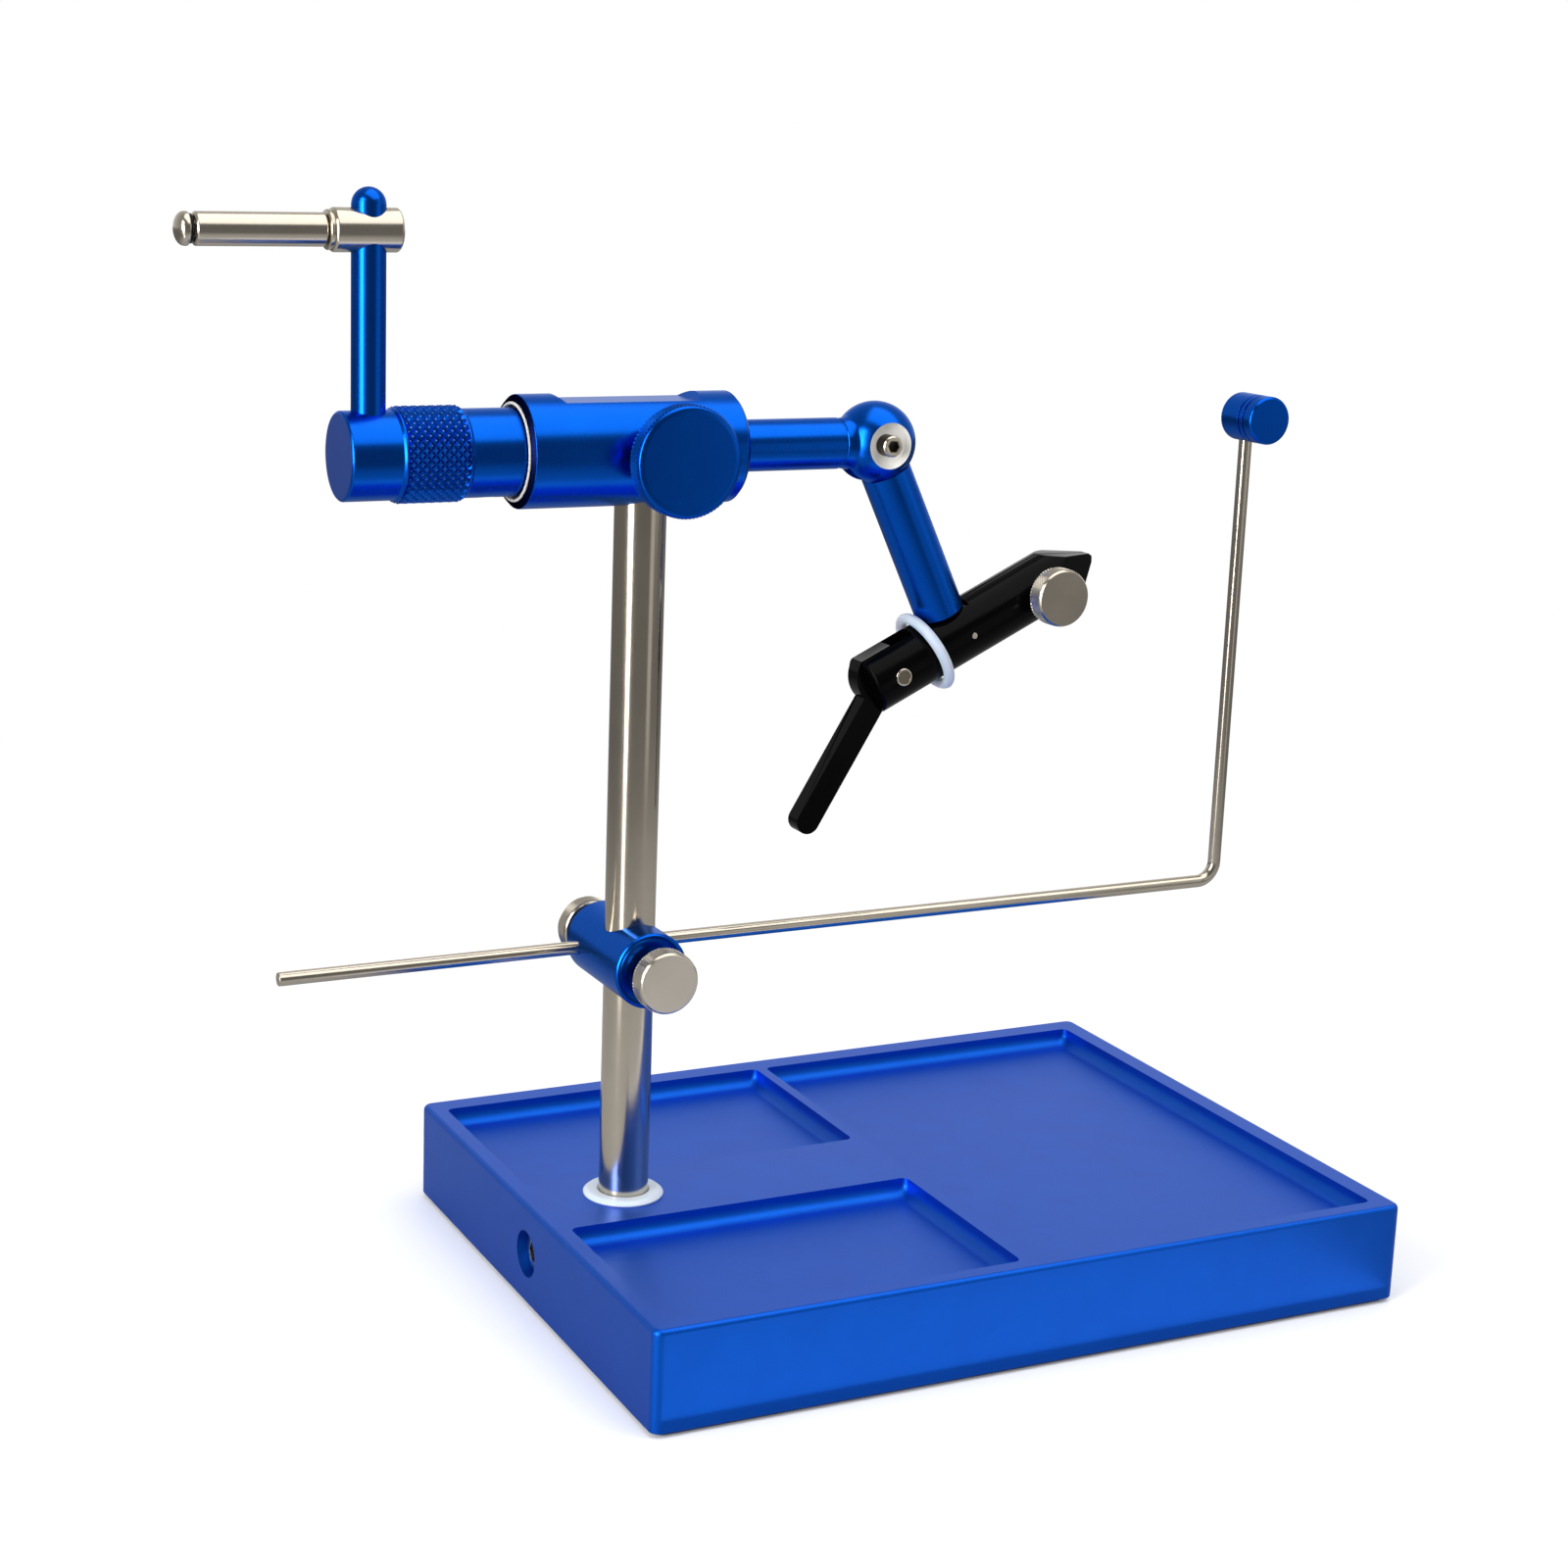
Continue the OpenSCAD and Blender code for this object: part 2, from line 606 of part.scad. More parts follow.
module arm_screw() color(steel) at_jaws() translate([0, tenon_y, 0]) {
    low = -sqrt(jaw_r * jaw_r - pow(tenon_y + screw_head_d / 2, 2));
    difference() {
        union() {
            bar(screw_head_d / 2, low, low + arm_screw_d, 0.3, 0);
            bar(arm_screw_d / 2, low + 1, jaw_r - seat_dep + 6, 0, 0.3);
        }
        hex_cut(arm_screw_d * 0.8, low - 1, low + 1.4);
    }
}

// The barrel with its sloped nose, before it is split
module jaw_blank() intersection() {
    x_bar(jaw_r, -jaw_rear, jaw_front_len, jaw_rear_c, 0);
    rotate([90, 0, 0]) linear_extrude(2 * jaw_d, center = true)
        polygon([[-jaw_rear - 1, jaw_r], [jaw_front_len - nose_top, jaw_r], [jaw_front_len, tip_h / 2],
                 [jaw_front_len, -tip_h / 2], [jaw_front_len - nose_low, -jaw_r], [-jaw_rear - 1, -jaw_r]]);
    linear_extrude(2 * jaw_d, center = true)
        polygon([[-jaw_rear - 1, jaw_r], [jaw_front_len - nose_side, jaw_r], [jaw_front_len, tip_w / 2],
                 [jaw_front_len, -tip_w / 2], [jaw_front_len - nose_side, -jaw_r], [-jaw_rear - 1, -jaw_r]]);
}

// Half of the jaws on one side of the split, with the lever's slot and the arm's flat
module jaw_half(side, seat) difference() {
    jaw_blank();
    translate([-2 * jaw_rear, side > 0 ? split_gap / 2 - jaw_d : -split_gap / 2, -jaw_d])
        cube([4 * jaw_front_len, jaw_d, 2 * jaw_d]);
    translate([-jaw_rear - 1, -lever_slot / 2, -jaw_d])
        cube([jaw_rear + 1 - cam_x + cam_head_d / 2 + free_gap, lever_slot, 2 * jaw_d]);
    translate([-arm_d / 2 - free_gap, -jaw_d, seat]) cube([arm_d + 2 * free_gap, 2 * jaw_d, jaw_d]);
}

module jaw_back() color(black) at_jaws() {
    low = -sqrt(jaw_r * jaw_r - pow(tenon_y + screw_head_d / 2, 2));
    difference() {
        jaw_half(1, jaw_r - seat_dep);
        translate([-cam_x, 0, 0]) y_bar(cam_pin_d / 2 + snug, 0, jaw_d);
        translate([dowel_x, 0, 0]) y_bar(dowel_d / 2 + snug, 0, jaw_r - 1.4);
        translate([adjust_x, 0, 0]) y_bar(adjust_d / 2 + run_fit, 0, jaw_d);
        translate([0, tenon_y, 0]) {
            bar(tenon_d / 2 + snug, jaw_r - seat_dep - tenon_len - end_gap, jaw_d);
            bar(arm_screw_d / 2 + 0.1, -jaw_d, jaw_d);
            bar(screw_head_d / 2 + 0.1, -jaw_d, low + arm_screw_d);
        }
    }
}

module jaw_front() color(black) at_jaws() difference() {
    jaw_half(-1, jaw_r - seat_dep - free_gap);
    translate([-cam_x, 0, 0]) y_bar(cam_pin_d / 2 + 0.12, -jaw_d, 0);
    translate([dowel_x, 0, 0]) y_bar(dowel_d / 2 + 0.12, -jaw_d, 0);
    translate([adjust_x, 0, 0]) {
        y_bar(adjust_d / 2 + 0.2, -jaw_d, 0);
        y_bar(adjust_d / 2 + 2, -jaw_d, -adjust_flat);
    }
}

module jaw_dowel() color(steel) at_jaws() translate([dowel_x, 0, 0])
    y_bar(dowel_d / 2, 0.15 - jaw_r, jaw_r - 1.5, 0.1, 0.2);

module jaw_ring() color(white) at_jaws() translate([-ring_x, 0, 0]) rotate([0, 90 - ring_tilt, 0])
    rotate_extrude() translate([jaw_r + ring_gap + ring_th / 2, 0]) circle(d = ring_th);

module adjusting_screw() color(steel) at_jaws() translate([adjust_x, 0, 0])
    y_bar(adjust_d / 2, -adjust_flat - adjust_boss - adjust_knob_th + 1.4, jaw_r - 0.4, 0, 0.4);

module adjusting_knob() color(steel) at_jaws() translate([adjust_x, 0, 0]) {
    back = adjust_flat + adjust_boss;
    difference() {
        union() {
            y_bar(adjust_knob_d / 2, -back - adjust_knob_th, -back, 0.4, 0.4);
            y_bar(adjust_d / 2 + 1.5, -back - 1, -adjust_flat - end_gap);
        }
        y_bar(adjust_d / 2 + snug, -back - adjust_knob_th + 1.4, 0);
    }
}

module cam_pin() color(steel) at_jaws() translate([-cam_x, 0, 0]) {
    half = sqrt(jaw_r * jaw_r - cam_pin_d * cam_pin_d / 4);
    y_bar(cam_pin_d / 2, -half, half, 0.2, 0.2);
}

// The lever's head is round but off centre, so that it wedges the halves apart behind the arm,
// and a flat keeps it level with the jaws' top
module cam_lever() color(black) at_cam() difference() {
    union() {
        translate([-cam_back, 0, cam_up]) y_bar(cam_head_d / 2, -lever_th / 2, lever_th / 2, 0.3, 0.3);
        translate([-lever_len, 0, lever_up]) {
            translate([0, -lever_th / 2, -lever_w / 2]) cube([lever_len - cam_back, lever_th, lever_w]);
            y_bar(lever_w / 2, -lever_th / 2, lever_th / 2);
        }
    }
    y_bar(cam_pin_d / 2 + run_fit, -lever_th, lever_th);
    rotate([0, lever_drop, 0]) translate([-cam_head_d, -lever_th, cam_flat])
        cube([2 * cam_head_d, 2 * lever_th, cam_head_d]);
}

module cradle_block() color(blue) at_cradle() difference() {
    y_bar(block_d / 2, -block_front, block_back, block_c, block_c);
    bar(post_r + run_fit, -block_d, block_d);
    translate([0, rod_y, 0]) x_bar(rod_d / 2 + run_fit, -block_d, block_d);
    y_bar(thumb_screw_d / 2 + run_fit, -block_front - 1, 0);
    y_bar(thumb_screw_d / 2 + run_fit, rod_y, block_back + 1);
}

// A thumb screw standing out along +Y from a face, its tip on what it clamps
module thumb_screw(face, tip) color(steel) {
    back = face + screw_tip_y;
    y_bar(thumb_d / 2, back, back + thumb_th, 0.4, 0.4);
    y_bar(thumb_screw_d / 2 + 1.5, face + free_gap, back + 1);
    y_bar(thumb_screw_d / 2, tip, back + 1, 0.4, 0);
}
module post_thumb_screw() at_cradle() rotate([0, 0, 180]) thumb_screw(block_front, post_r + end_gap);
module rod_thumb_screw() at_cradle() thumb_screw(block_back, rod_y + rod_d / 2 + end_gap);

module cradle_rod() color(steel) at_cradle() translate([0, rod_y, 0]) {
    x_bar(rod_d / 2, -rod_left, rod_right - bend_r, 0.3, 0);
    translate([rod_right - bend_r, 0, bend_r]) rotate([90, 0, 0]) rotate([0, 0, -90])
        rotate_extrude(angle = 90) translate([bend_r, 0]) circle(d = rod_d);
    translate([rod_right, 0, 0]) bar(rod_d / 2, bend_r, rise_h + rod_d / 2, 0, 0.3);
}

module cradle_head() color(blue) at_cradle() translate([rod_right, rod_y, rise_h]) difference() {
    r = cradle_head_d / 2;
    y_bar(r, -head_before, head_behind, 0.4, 0.4);
    for (i = [0, 1]) translate([0, groove_start + i * groove_pitch - head_before, 0]) difference() {
        y_bar(r + 1, 0, groove_w);
        y_bar(r - 0.3, -1, groove_w + 1);
    }
    bar(rod_d / 2 + snug, -r - 1, rod_d / 2 + end_gap);
}

base_plate();
base_pad();
base_set_screw();
post_washer();
post();
head_body();
rear_bush();
front_bush();
thrust_washer();
brake_knob();
brake_stud();
brake_plug();
spindle();
crank_hub();
hub_set_screw();
crank_arm();
handle_collar();
handle_pin();
grip_washer();
handle_sleeve();
pivot_screw();
pivot_nut();
jaw_arm();
arm_screw();
jaw_back();
jaw_front();
jaw_dowel();
jaw_ring();
adjusting_screw();
adjusting_knob();
cam_pin();
cam_lever();
cradle_block();
post_thumb_screw();
rod_thumb_screw();
cradle_rod();
cradle_head();
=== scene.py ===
"""Looks of a rotary fly tying vise: blue anodised base, head and arm, black jaws, steel post and cradle."""

import logging
import math
from dataclasses import dataclass
from enum import Enum
from typing import Callable, Sequence

import bmesh
import bpy
from mathutils import Matrix, Vector


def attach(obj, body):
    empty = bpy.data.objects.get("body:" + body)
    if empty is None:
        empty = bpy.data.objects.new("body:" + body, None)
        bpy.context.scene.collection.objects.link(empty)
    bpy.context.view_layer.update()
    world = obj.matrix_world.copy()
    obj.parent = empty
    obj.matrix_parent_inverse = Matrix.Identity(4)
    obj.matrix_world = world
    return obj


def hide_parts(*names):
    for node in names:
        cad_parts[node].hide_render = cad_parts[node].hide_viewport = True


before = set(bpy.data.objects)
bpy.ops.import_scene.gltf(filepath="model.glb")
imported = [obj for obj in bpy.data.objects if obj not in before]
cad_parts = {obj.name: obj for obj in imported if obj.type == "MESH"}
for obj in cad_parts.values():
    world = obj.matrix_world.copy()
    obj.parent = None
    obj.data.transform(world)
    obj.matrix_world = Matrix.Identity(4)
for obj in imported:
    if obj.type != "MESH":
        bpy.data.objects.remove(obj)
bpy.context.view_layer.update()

MM = 0.001
# Sides of a round, from the largest pieces down to the pins, and of a hexagonal hole.
LARGE, MIDDLE, SMALL, NARROW, PIN, HEXAGON = 128, 96, 64, 48, 32, 6
# Handling and polishing leave tones about this wide on metal, in mm.
TONE_WIDTH = 8.0
# The rings of a wave texture of scale 1 lie this far apart, in metres.
WAVE_SPACING = 0.314
# Faces that meet at less than this angle, in degrees, shade as one.
SMOOTH_BELOW = 32.0
# Steps of a ball's outline from pole to pole.
BALL_STEPS = 48
# The most of a stretch between two corners that the rounding of one of them takes up.
ROUNDED_SHARE = 0.48
# Radius of a hole that a 4 mm screw fills, in mm.
SCREW_HOLE = 2.02
# How far the arm's tenon lies behind the middle of the jaws, in mm.
TENON_Y = 2.7
WHITE = (1.0, 1.0, 1.0, 1.0)
LOG = logging.getLogger("fly_tying_vise")

Point = tuple[float, float, float]
Ring = tuple[float, float]
Corner = tuple[float, float, float]
Piece = bpy.types.Object
Tree = bpy.types.NodeTree
Node = bpy.types.Node
Socket = bpy.types.NodeSocket
Test = Callable[[Vector, Vector], bool]


class Along(Enum):
    """The axis that a turned piece is made along."""

    X = "X"
    Y = "Y"
    Z = "Z"

    def turn(self) -> Matrix:
        """Gives the rotation that carries +Z to this axis.

        Returns:
            The rotation.
        """
        if self is Along.X:
            return Matrix.Rotation(math.pi / 2, 4, "Y")
        if self is Along.Y:
            return Matrix.Rotation(-math.pi / 2, 4, "X")
        return Matrix.Identity(4)


class Grain(Enum):
    """Which way a machined surface's fine lines run, as stretches of the pattern in X, Y and Z."""

    BLASTED = (1.0, 1.0, 1.0)
    ROUND_X = (1.0, 0.04, 0.04)
    ROUND_Y = (0.04, 1.0, 0.04)
    ROUND_Z = (0.04, 0.04, 1.0)
    LONG_Z = (1.0, 1.0, 0.03)


@dataclass(frozen=True)
class Seat:
    """A place that a sub-assembly is built in.

    x, y and z are its origin in mm, and lean turns it about Y, in degrees.
    """

    x: float = 0.0
    y: float = 0.0
    z: float = 0.0
    lean: float = 0.0

    def matrix(self) -> Matrix:
        """Returns the matrix from this place to the model's frame, in metres."""
        turn = Matrix.Rotation(math.radians(self.lean), 4, "Y")
        return Matrix.Translation(Vector((self.x, self.y, self.z)) * MM) @ turn

    def moved(self, x: float = 0.0, y: float = 0.0, z: float = 0.0, lean: float = 0.0) -> "Seat":
        """Moves a place along its own axes and then leans it further.

        Args:
            x: Distance along this place's X, in mm.
            y: Distance along its Y.
            z: Distance along its Z.
            lean: Further turn about Y, in degrees.

        Returns:
            The moved place.
        """
        spot = self.matrix() @ (Vector((x, y, z)) * MM) / MM
        return Seat(spot.x, spot.y, spot.z, self.lean + lean)


BENCH = Seat()
HEAD = Seat(-59.2, 0.0, 162.3)
POST = Seat(-59.2, 0.0, 0.0)
BRAKE = HEAD.moved(x=2.0, z=-0.6)
HANDLE = HEAD.moved(z=38.2)
KNUCKLE = Seat(-11.8, 0.0, 162.3, -25.7)
JAWS = KNUCKLE.moved(z=-42.1)
CAM = JAWS.moved(x=-14.0, lean=-33.6)
CRADLE = Seat(-59.2, 0.0, 67.2)


def linear(code: str) -> tuple[float, float, float, float]:
    """Turns an sRGB hex colour to linear.

    Args:
        code: Six hex digits.

    Returns:
        Red, green, blue and an alpha of 1.
    """
    parts = [int(code[i : i + 2], 16) / 255 for i in (0, 2, 4)]
    red, green, blue = (c / 12.92 if c <= 0.04045 else ((c + 0.055) / 1.055) ** 2.4 for c in parts)
    return red, green, blue, 1.0


def add_node(tree: Tree, kind: str, inputs: dict | None = None, **settings: object) -> Node:
    """Adds a shader node with its settings and links.

    Args:
        tree: The node tree.
        kind: The node's type name, less its prefix.
        inputs: Values, sockets or nodes by the name or number of the input. A node stands for its
            first output.
        **settings: Properties of the node.

    Returns:
        The node.
    """
    node = tree.nodes.new(f"ShaderNode{kind}")
    for name, value in settings.items():
        setattr(node, name, value)
    for key, value in (inputs or {}).items():
        source = value.outputs[0] if isinstance(value, Node) else value
        if isinstance(source, Socket):
            tree.links.new(source, node.inputs[key])
        else:
            node.inputs[key].default_value = source
    return node


def maths(tree: Tree, operation: str, first: object, second: object) -> Node:
    """Adds a math node of two values, sockets or nodes."""
    return add_node(tree, "Math", {0: first, 1: second}, operation=operation)


def from_metal(tree: Tree, rays: Node) -> Node:
    """Adds a node that is 1 for the rays that leave metal or clear rubber, and 0 for the others."""
    return maths(tree, "MAXIMUM", rays.outputs["Is Glossy Ray"], rays.outputs["Is Transmission Ray"])


def uneven(tree: Tree, pattern: Socket, low: float, high: float, height: float, strength: float = 0.5) -> dict:
    """Lets one pattern vary a surface's roughness and raise its relief.

    Args:
        tree: The node tree.
        pattern: The pattern, from 0 to 1.
        low: Roughness where it is 0.
        high: Roughness where it is 1.
        height: Height of the relief in mm.
        strength: How much the relief counts.

    Returns:
        The shader's roughness and normal.
    """
    rough = add_node(tree, "MapRange", {0: pattern, 3: low, 4: high})
    bump = add_node(tree, "Bump", {"Strength": strength, "Distance": height * MM, "Height": pattern})
    return {"Roughness": rough.outputs[0], "Normal": bump.outputs[0]}


def new_material(name: str) -> tuple[bpy.types.Material, Tree]:
    """Adds a node material.

    Args:
        name: The material's name.

    Returns:
        The material and its tree, still empty.
    """
    material = bpy.data.materials.new(name)
    material.use_nodes = True
    material.node_tree.nodes.clear()
    return material, material.node_tree


class Finish:
    """What a surface is made of and how it was worked."""

    name: str

    def surface(self, tree: Tree, place: Socket, grain: Grain | None) -> dict:
        """Adds the finish's pattern to a material.

        Args:
            tree: The material's tree.
            place: The Object coordinates.
            grain: The way that the marks run, or None where the finish has none.

        Returns:
            The shader's inputs by name.
        """
        raise NotImplementedError

    def made(self, grain: Grain | None = None) -> bpy.types.Material:
        """Makes the finish's material, once.

        Args:
            grain: The way that the marks run, or None where the finish has none.

        Returns:
            The material.
        """
        name = f"{self.name}_{grain.name.lower()}" if grain else self.name
        if name in bpy.data.materials:
            return bpy.data.materials[name]
        material, tree = new_material(name)
        place = add_node(tree, "TexCoord").outputs["Object"]
        shader = add_node(tree, "BsdfPrincipled", self.surface(tree, place, grain))
        add_node(tree, "OutputMaterial", {"Surface": shader})
        return material


@dataclass(frozen=True)
class Metal(Finish):
    """A bare, dyed or blackened metal surface with fine machining marks.

    colour and shade are the lighter and darker sRGB tones, rough and spread the middle and range of
    roughness, line the spacing of the marks in mm, depth their height in mm, edge the tint at a
    glancing angle, coat the clear layer's weight, and gloss how strongly a non-metal reflects.
    """

    name: str
    colour: str
    shade: str
    rough: float
    spread: float
    line: float
    depth: float
    edge: str = "FFFFFF"
    coat: float = 0.0
    coat_rough: float = 0.1
    metallic: float = 1.0
    gloss: float = 0.5

    def surface(self, tree: Tree, place: Socket, grain: Grain | None) -> dict:
        """Adds the fine marks and the broad tones.

        Args:
            tree: The material's tree.
            place: The Object coordinates.
            grain: The way that the marks run.

        Returns:
            The shader's inputs by name.
        """
        lines = add_node(tree, "Mapping", {0: place, "Scale": grain.value})
        marks = add_node(
            tree, "TexNoise", {"Vector": lines, "Scale": 1 / (self.line * MM), "Detail": 3.0, "Roughness": 0.6}
        )
        tone = add_node(
            tree, "TexNoise", {"Vector": place, "Scale": 1 / (TONE_WIDTH * MM), "Detail": 2.0, "Roughness": 0.5}
        )
        tones = add_node(tree, "Mix", {0: tone, 6: linear(self.shade), 7: linear(self.colour)}, data_type="RGBA")
        low, high = self.rough - self.spread, self.rough + self.spread
        return uneven(tree, marks.outputs[0], low, high, self.depth) | {
            "Base Color": tones.outputs[2],
            "Metallic": self.metallic,
            "Specular IOR Level": self.gloss,
            "Specular Tint": linear(self.edge),
            "Coat Weight": self.coat,
            "Coat Roughness": self.coat_rough,
            "Coat IOR": 1.35,
        }


@dataclass(frozen=True)
class Faced(Finish):
    """Bare metal faced on a lathe, with rings round the middle of the face.

    centre is the middle of the face in mm, and step the rings' spacing in mm: the tool's real feed
    of about 0.05 mm is drawn coarser, so that it shows.
    """

    name: str
    colour: str
    rough: float
    centre: Point
    step: float = 0.13

    def surface(self, tree: Tree, place: Socket, grain: Grain | None) -> dict:
        """Adds the rings that the tool leaves.

        Args:
            tree: The material's tree.
            place: The Object coordinates.
            grain: The way that the marks run, not used.

        Returns:
            The shader's inputs by name.
        """
        middle = add_node(tree, "Mapping", {0: place, "Location": tuple(-c * MM for c in self.centre)})
        scale = WAVE_SPACING / (self.step * MM)
        waves = {"Vector": middle, "Scale": scale, "Distortion": 0.6, "Detail": 2.0}
        rings = add_node(tree, "TexWave", waves, wave_type="RINGS", rings_direction="Y")
        return uneven(tree, rings.outputs[1], self.rough - 0.05, self.rough + 0.08, 0.008) | {
            "Base Color": linear(self.colour),
            "Metallic": 1.0,
        }


@dataclass(frozen=True)
class Polymer(Finish):
    """Moulded or cut plastic or rubber, from clear to opaque.

    clear is how much light passes through, milky how much of it scatters inside, bump the height in
    mm of a fine unevenness, and size its width in mm.
    """

    name: str
    colour: str
    rough: float
    clear: float = 0.0
    milky: float = 0.0
    bump: float = 0.01
    size: float = 0.6

    def surface(self, tree: Tree, place: Socket, grain: Grain | None) -> dict:
        """Adds the fine unevenness.

        Args:
            tree: The material's tree.
            place: The Object coordinates.
            grain: The way that the marks run, not used.

        Returns:
            The shader's inputs by name.
        """
        noise = add_node(tree, "TexNoise", {"Vector": place, "Scale": 1 / (self.size * MM), "Detail": 3.0})
        return uneven(tree, noise.outputs[0], self.rough - 0.06, self.rough + 0.06, self.bump, 0.4) | {
            "Base Color": linear(self.colour),
            "IOR": 1.45,
            "Transmission Weight": self.clear,
            "Subsurface Weight": self.milky,
            "Subsurface Scale": 1.5 * MM,
        }


# Blasted aluminium, dyed and sealed: an even satin blue, with the seal's pale sheen at a low angle.
BLASTED_BLUE = Metal("blasted_blue_anodising", "005ED4", "0056C8", 0.46, 0.05, 0.35, 0.006, coat=0.26, coat_rough=0.38)
# Turned aluminium, dyed: the same blue, glossier, with faint rings from the lathe.
TURNED_BLUE = Metal("turned_blue_anodising", "0058C8", "0051BE", 0.26, 0.04, 0.12, 0.001, "C8DAF4", 0.1, 0.22)
# The hub's faced end: matt from the tool, so that it shows the sky's pale grey over the blue.
FACED_BLUE = Metal("faced_blue_anodising", "145ED0", "1056C6", 0.44, 0.05, 0.15, 0.004, coat=0.4, coat_rough=0.38)
# The flats that the knurl's points are rubbed to: palest there, partly from the thinly rubbed dye and partly a painted
# glint.
RUBBED_GLINT_BLUE = Metal("rubbed_and_glint_blue_anodising", "6079D0", "4C66C0", 0.42, 0.05, 0.2, 0.002)
# Painted shade: a nearly black blue for the head's rear end and its chamfer, which lie in shade.
PAINTED_SHADE_BLUE = Metal("painted_shade_blue_anodising", "0A1440", "060C2C", 0.4, 0.06, 0.2, 0.006, "203070")
# Stainless bar, ground lengthwise: warm grey with long soft streaks.
GROUND_STEEL = Metal("ground_stainless", "D6CCBC", "C6BCAB", 0.17, 0.04, 0.3, 0.002)
# Steel turned small: the same warm grey, with rings.
TURNED_STEEL = Metal("turned_steel", "D2C9BA", "C2B9A9", 0.2, 0.05, 0.12, 0.003)
# Blackened and oiled tool steel: deep black with a hard gloss.
BLACK_STEEL = Metal("oiled_black_steel", "040405", "020202", 0.14, 0.03, 0.25, 0.001, metallic=0.0, gloss=0.06)
# Cut bare before anodising and left matt: it shows nearly white.
MATT_ALUMINIUM = Metal("matt_aluminium", "FAF8F4", "E9E6DF", 0.5, 0.06, 0.25, 0.012, metallic=0.0)
# The thrust washer's rim: turned bright, then dulled by handling to a pale satin grey.
SATIN_ALUMINIUM = Metal("satin_aluminium", "D2CFC8", "BEBAB2", 0.42, 0.05, 0.2, 0.004, metallic=0.0)
# Painted shade: a dark brown steel for the thrust washer's recessed inner ring, and a painted dark reflection on the
# pivot screw's flank.
PAINTED_SHADE_STEEL = Metal("painted_shade_steel", "4A4138", "2C2620", 0.35, 0.1, 0.3, 0.02)
# A darker brown steel for the floor of the cam pin's shallow end recess.
DARKER_RECESS_STEEL = Metal("darker_recess_steel", "8E8374", "72685B", 0.42, 0.1, 0.3, 0.01)
# Sintered bronze for the bearings.
BRONZE = Metal("sintered_bronze", "A87B45", "8F6638", 0.38, 0.08, 0.2, 0.01)
# Rubber: the base's sheet is matt, the moulded ring at the handle's end glossy.
O_RING = Polymer("moulded_rubber_ring", "0A0A0B", 0.28, bump=0.002)
SHEET_RUBBER = Polymer("sheet_rubber", "16171A", 0.75, bump=0.03)
# Natural nylon and clear silicone: milky, with some light through them.
NYLON = Polymer("natural_nylon", "D9E3EF", 0.32, clear=0.25, milky=0.35)
SILICONE = Polymer("clear_silicone", "D3E0EF", 0.34, clear=0.35, milky=0.4, bump=0.004, size=1.6)


def only(piece: Piece) -> None:
    """Selects one piece alone and makes it active, in object mode.

    Args:
        piece: The piece.
    """
    if bpy.context.object and bpy.context.object.mode != "OBJECT":
        bpy.ops.object.mode_set(mode="OBJECT")
    bpy.ops.object.select_all(action="DESELECT")
    piece.select_set(True)
    bpy.context.view_layer.objects.active = piece


def open_edit(piece: Piece, mode: str = "EDGE", action: str = "DESELECT") -> None:
    """Opens a piece in edit mode.

    Args:
        piece: The piece.
        mode: VERT, EDGE or FACE.
        action: DESELECT to start with nothing selected, SELECT to start with all of it.
    """
    only(piece)
    bpy.ops.object.mode_set(mode="EDIT")
    bpy.ops.mesh.select_mode(type=mode)
    bpy.ops.mesh.select_all(action=action)


def close_edit() -> None:
    """Goes back to object mode."""
    bpy.ops.object.mode_set(mode="OBJECT")


def pick_edges(piece: Piece, test: Test) -> None:
    """Selects the edges of a piece open in edit mode whose two ends, in mm, pass a test.

    Args:
        piece: The piece.
        test: Takes the two ends.
    """
    mesh = bmesh.from_edit_mesh(piece.data)
    for edge in mesh.edges:
        edge.select_set(test(edge.verts[0].co / MM, edge.verts[1].co / MM))
    mesh.select_flush_mode()
    bmesh.update_edit_mesh(piece.data)


def pick_faces(piece: Piece, test: Test) -> None:
    """Selects the faces of a piece open in edit mode whose middle, in mm, and normal pass a test.

    Args:
        piece: The piece.
        test: Takes the middle and the normal.
    """
    mesh = bmesh.from_edit_mesh(piece.data)
    for face in mesh.faces:
        face.select_set(test(face.calc_center_median() / MM, face.normal))
    mesh.select_flush_mode()
    bmesh.update_edit_mesh(piece.data)


def bevel_selected(width: float, steps: int) -> None:
    """Bevels what is selected in edit mode by that width in mm and number of steps."""
    bpy.ops.mesh.bevel(offset_type="OFFSET", offset=width * MM, segments=steps, affect="EDGES", clamp_overlap=True)


def applied(piece: Piece, kind: str, **settings: object) -> None:
    """Gives a piece a modifier and applies it.

    Args:
        piece: The piece.
        kind: The modifier's type.
        **settings: Its properties.
    """
    step = piece.modifiers.new(kind.lower(), kind)
    for name, value in settings.items():
        setattr(step, name, value)
    only(piece)
    bpy.ops.object.modifier_apply(modifier=step.name)


def softened(outline: Sequence[Corner], steps: int = 4) -> list[Ring]:
    """Rounds the corners of a turned outline.

    Args:
        outline: Radius, height and ease of each corner, in mm. Ease is how far the rounding reaches.
        steps: Points in each rounding.

    Returns:
        Radius and height of each ring.
    """
    rings: list[Ring] = []
    for number, (radius, height, ease) in enumerate(outline):
        if ease <= 0 or number in (0, len(outline) - 1):
            rings.append((radius, height))
            continue
        here = Vector((radius, height))
        before = Vector(outline[number - 1][:2]) - here
        after = Vector(outline[number + 1][:2]) - here
        reach = min(ease, before.length * ROUNDED_SHARE, after.length * ROUNDED_SHARE)
        start, end = here + before.normalized() * reach, here + after.normalized() * reach
        for step in range(steps + 1):
            t = step / steps
            spot = start * (1 - t) ** 2 + here * (2 * t * (1 - t)) + end * t**2
            rings.append((spot.x, spot.y))
    return rings


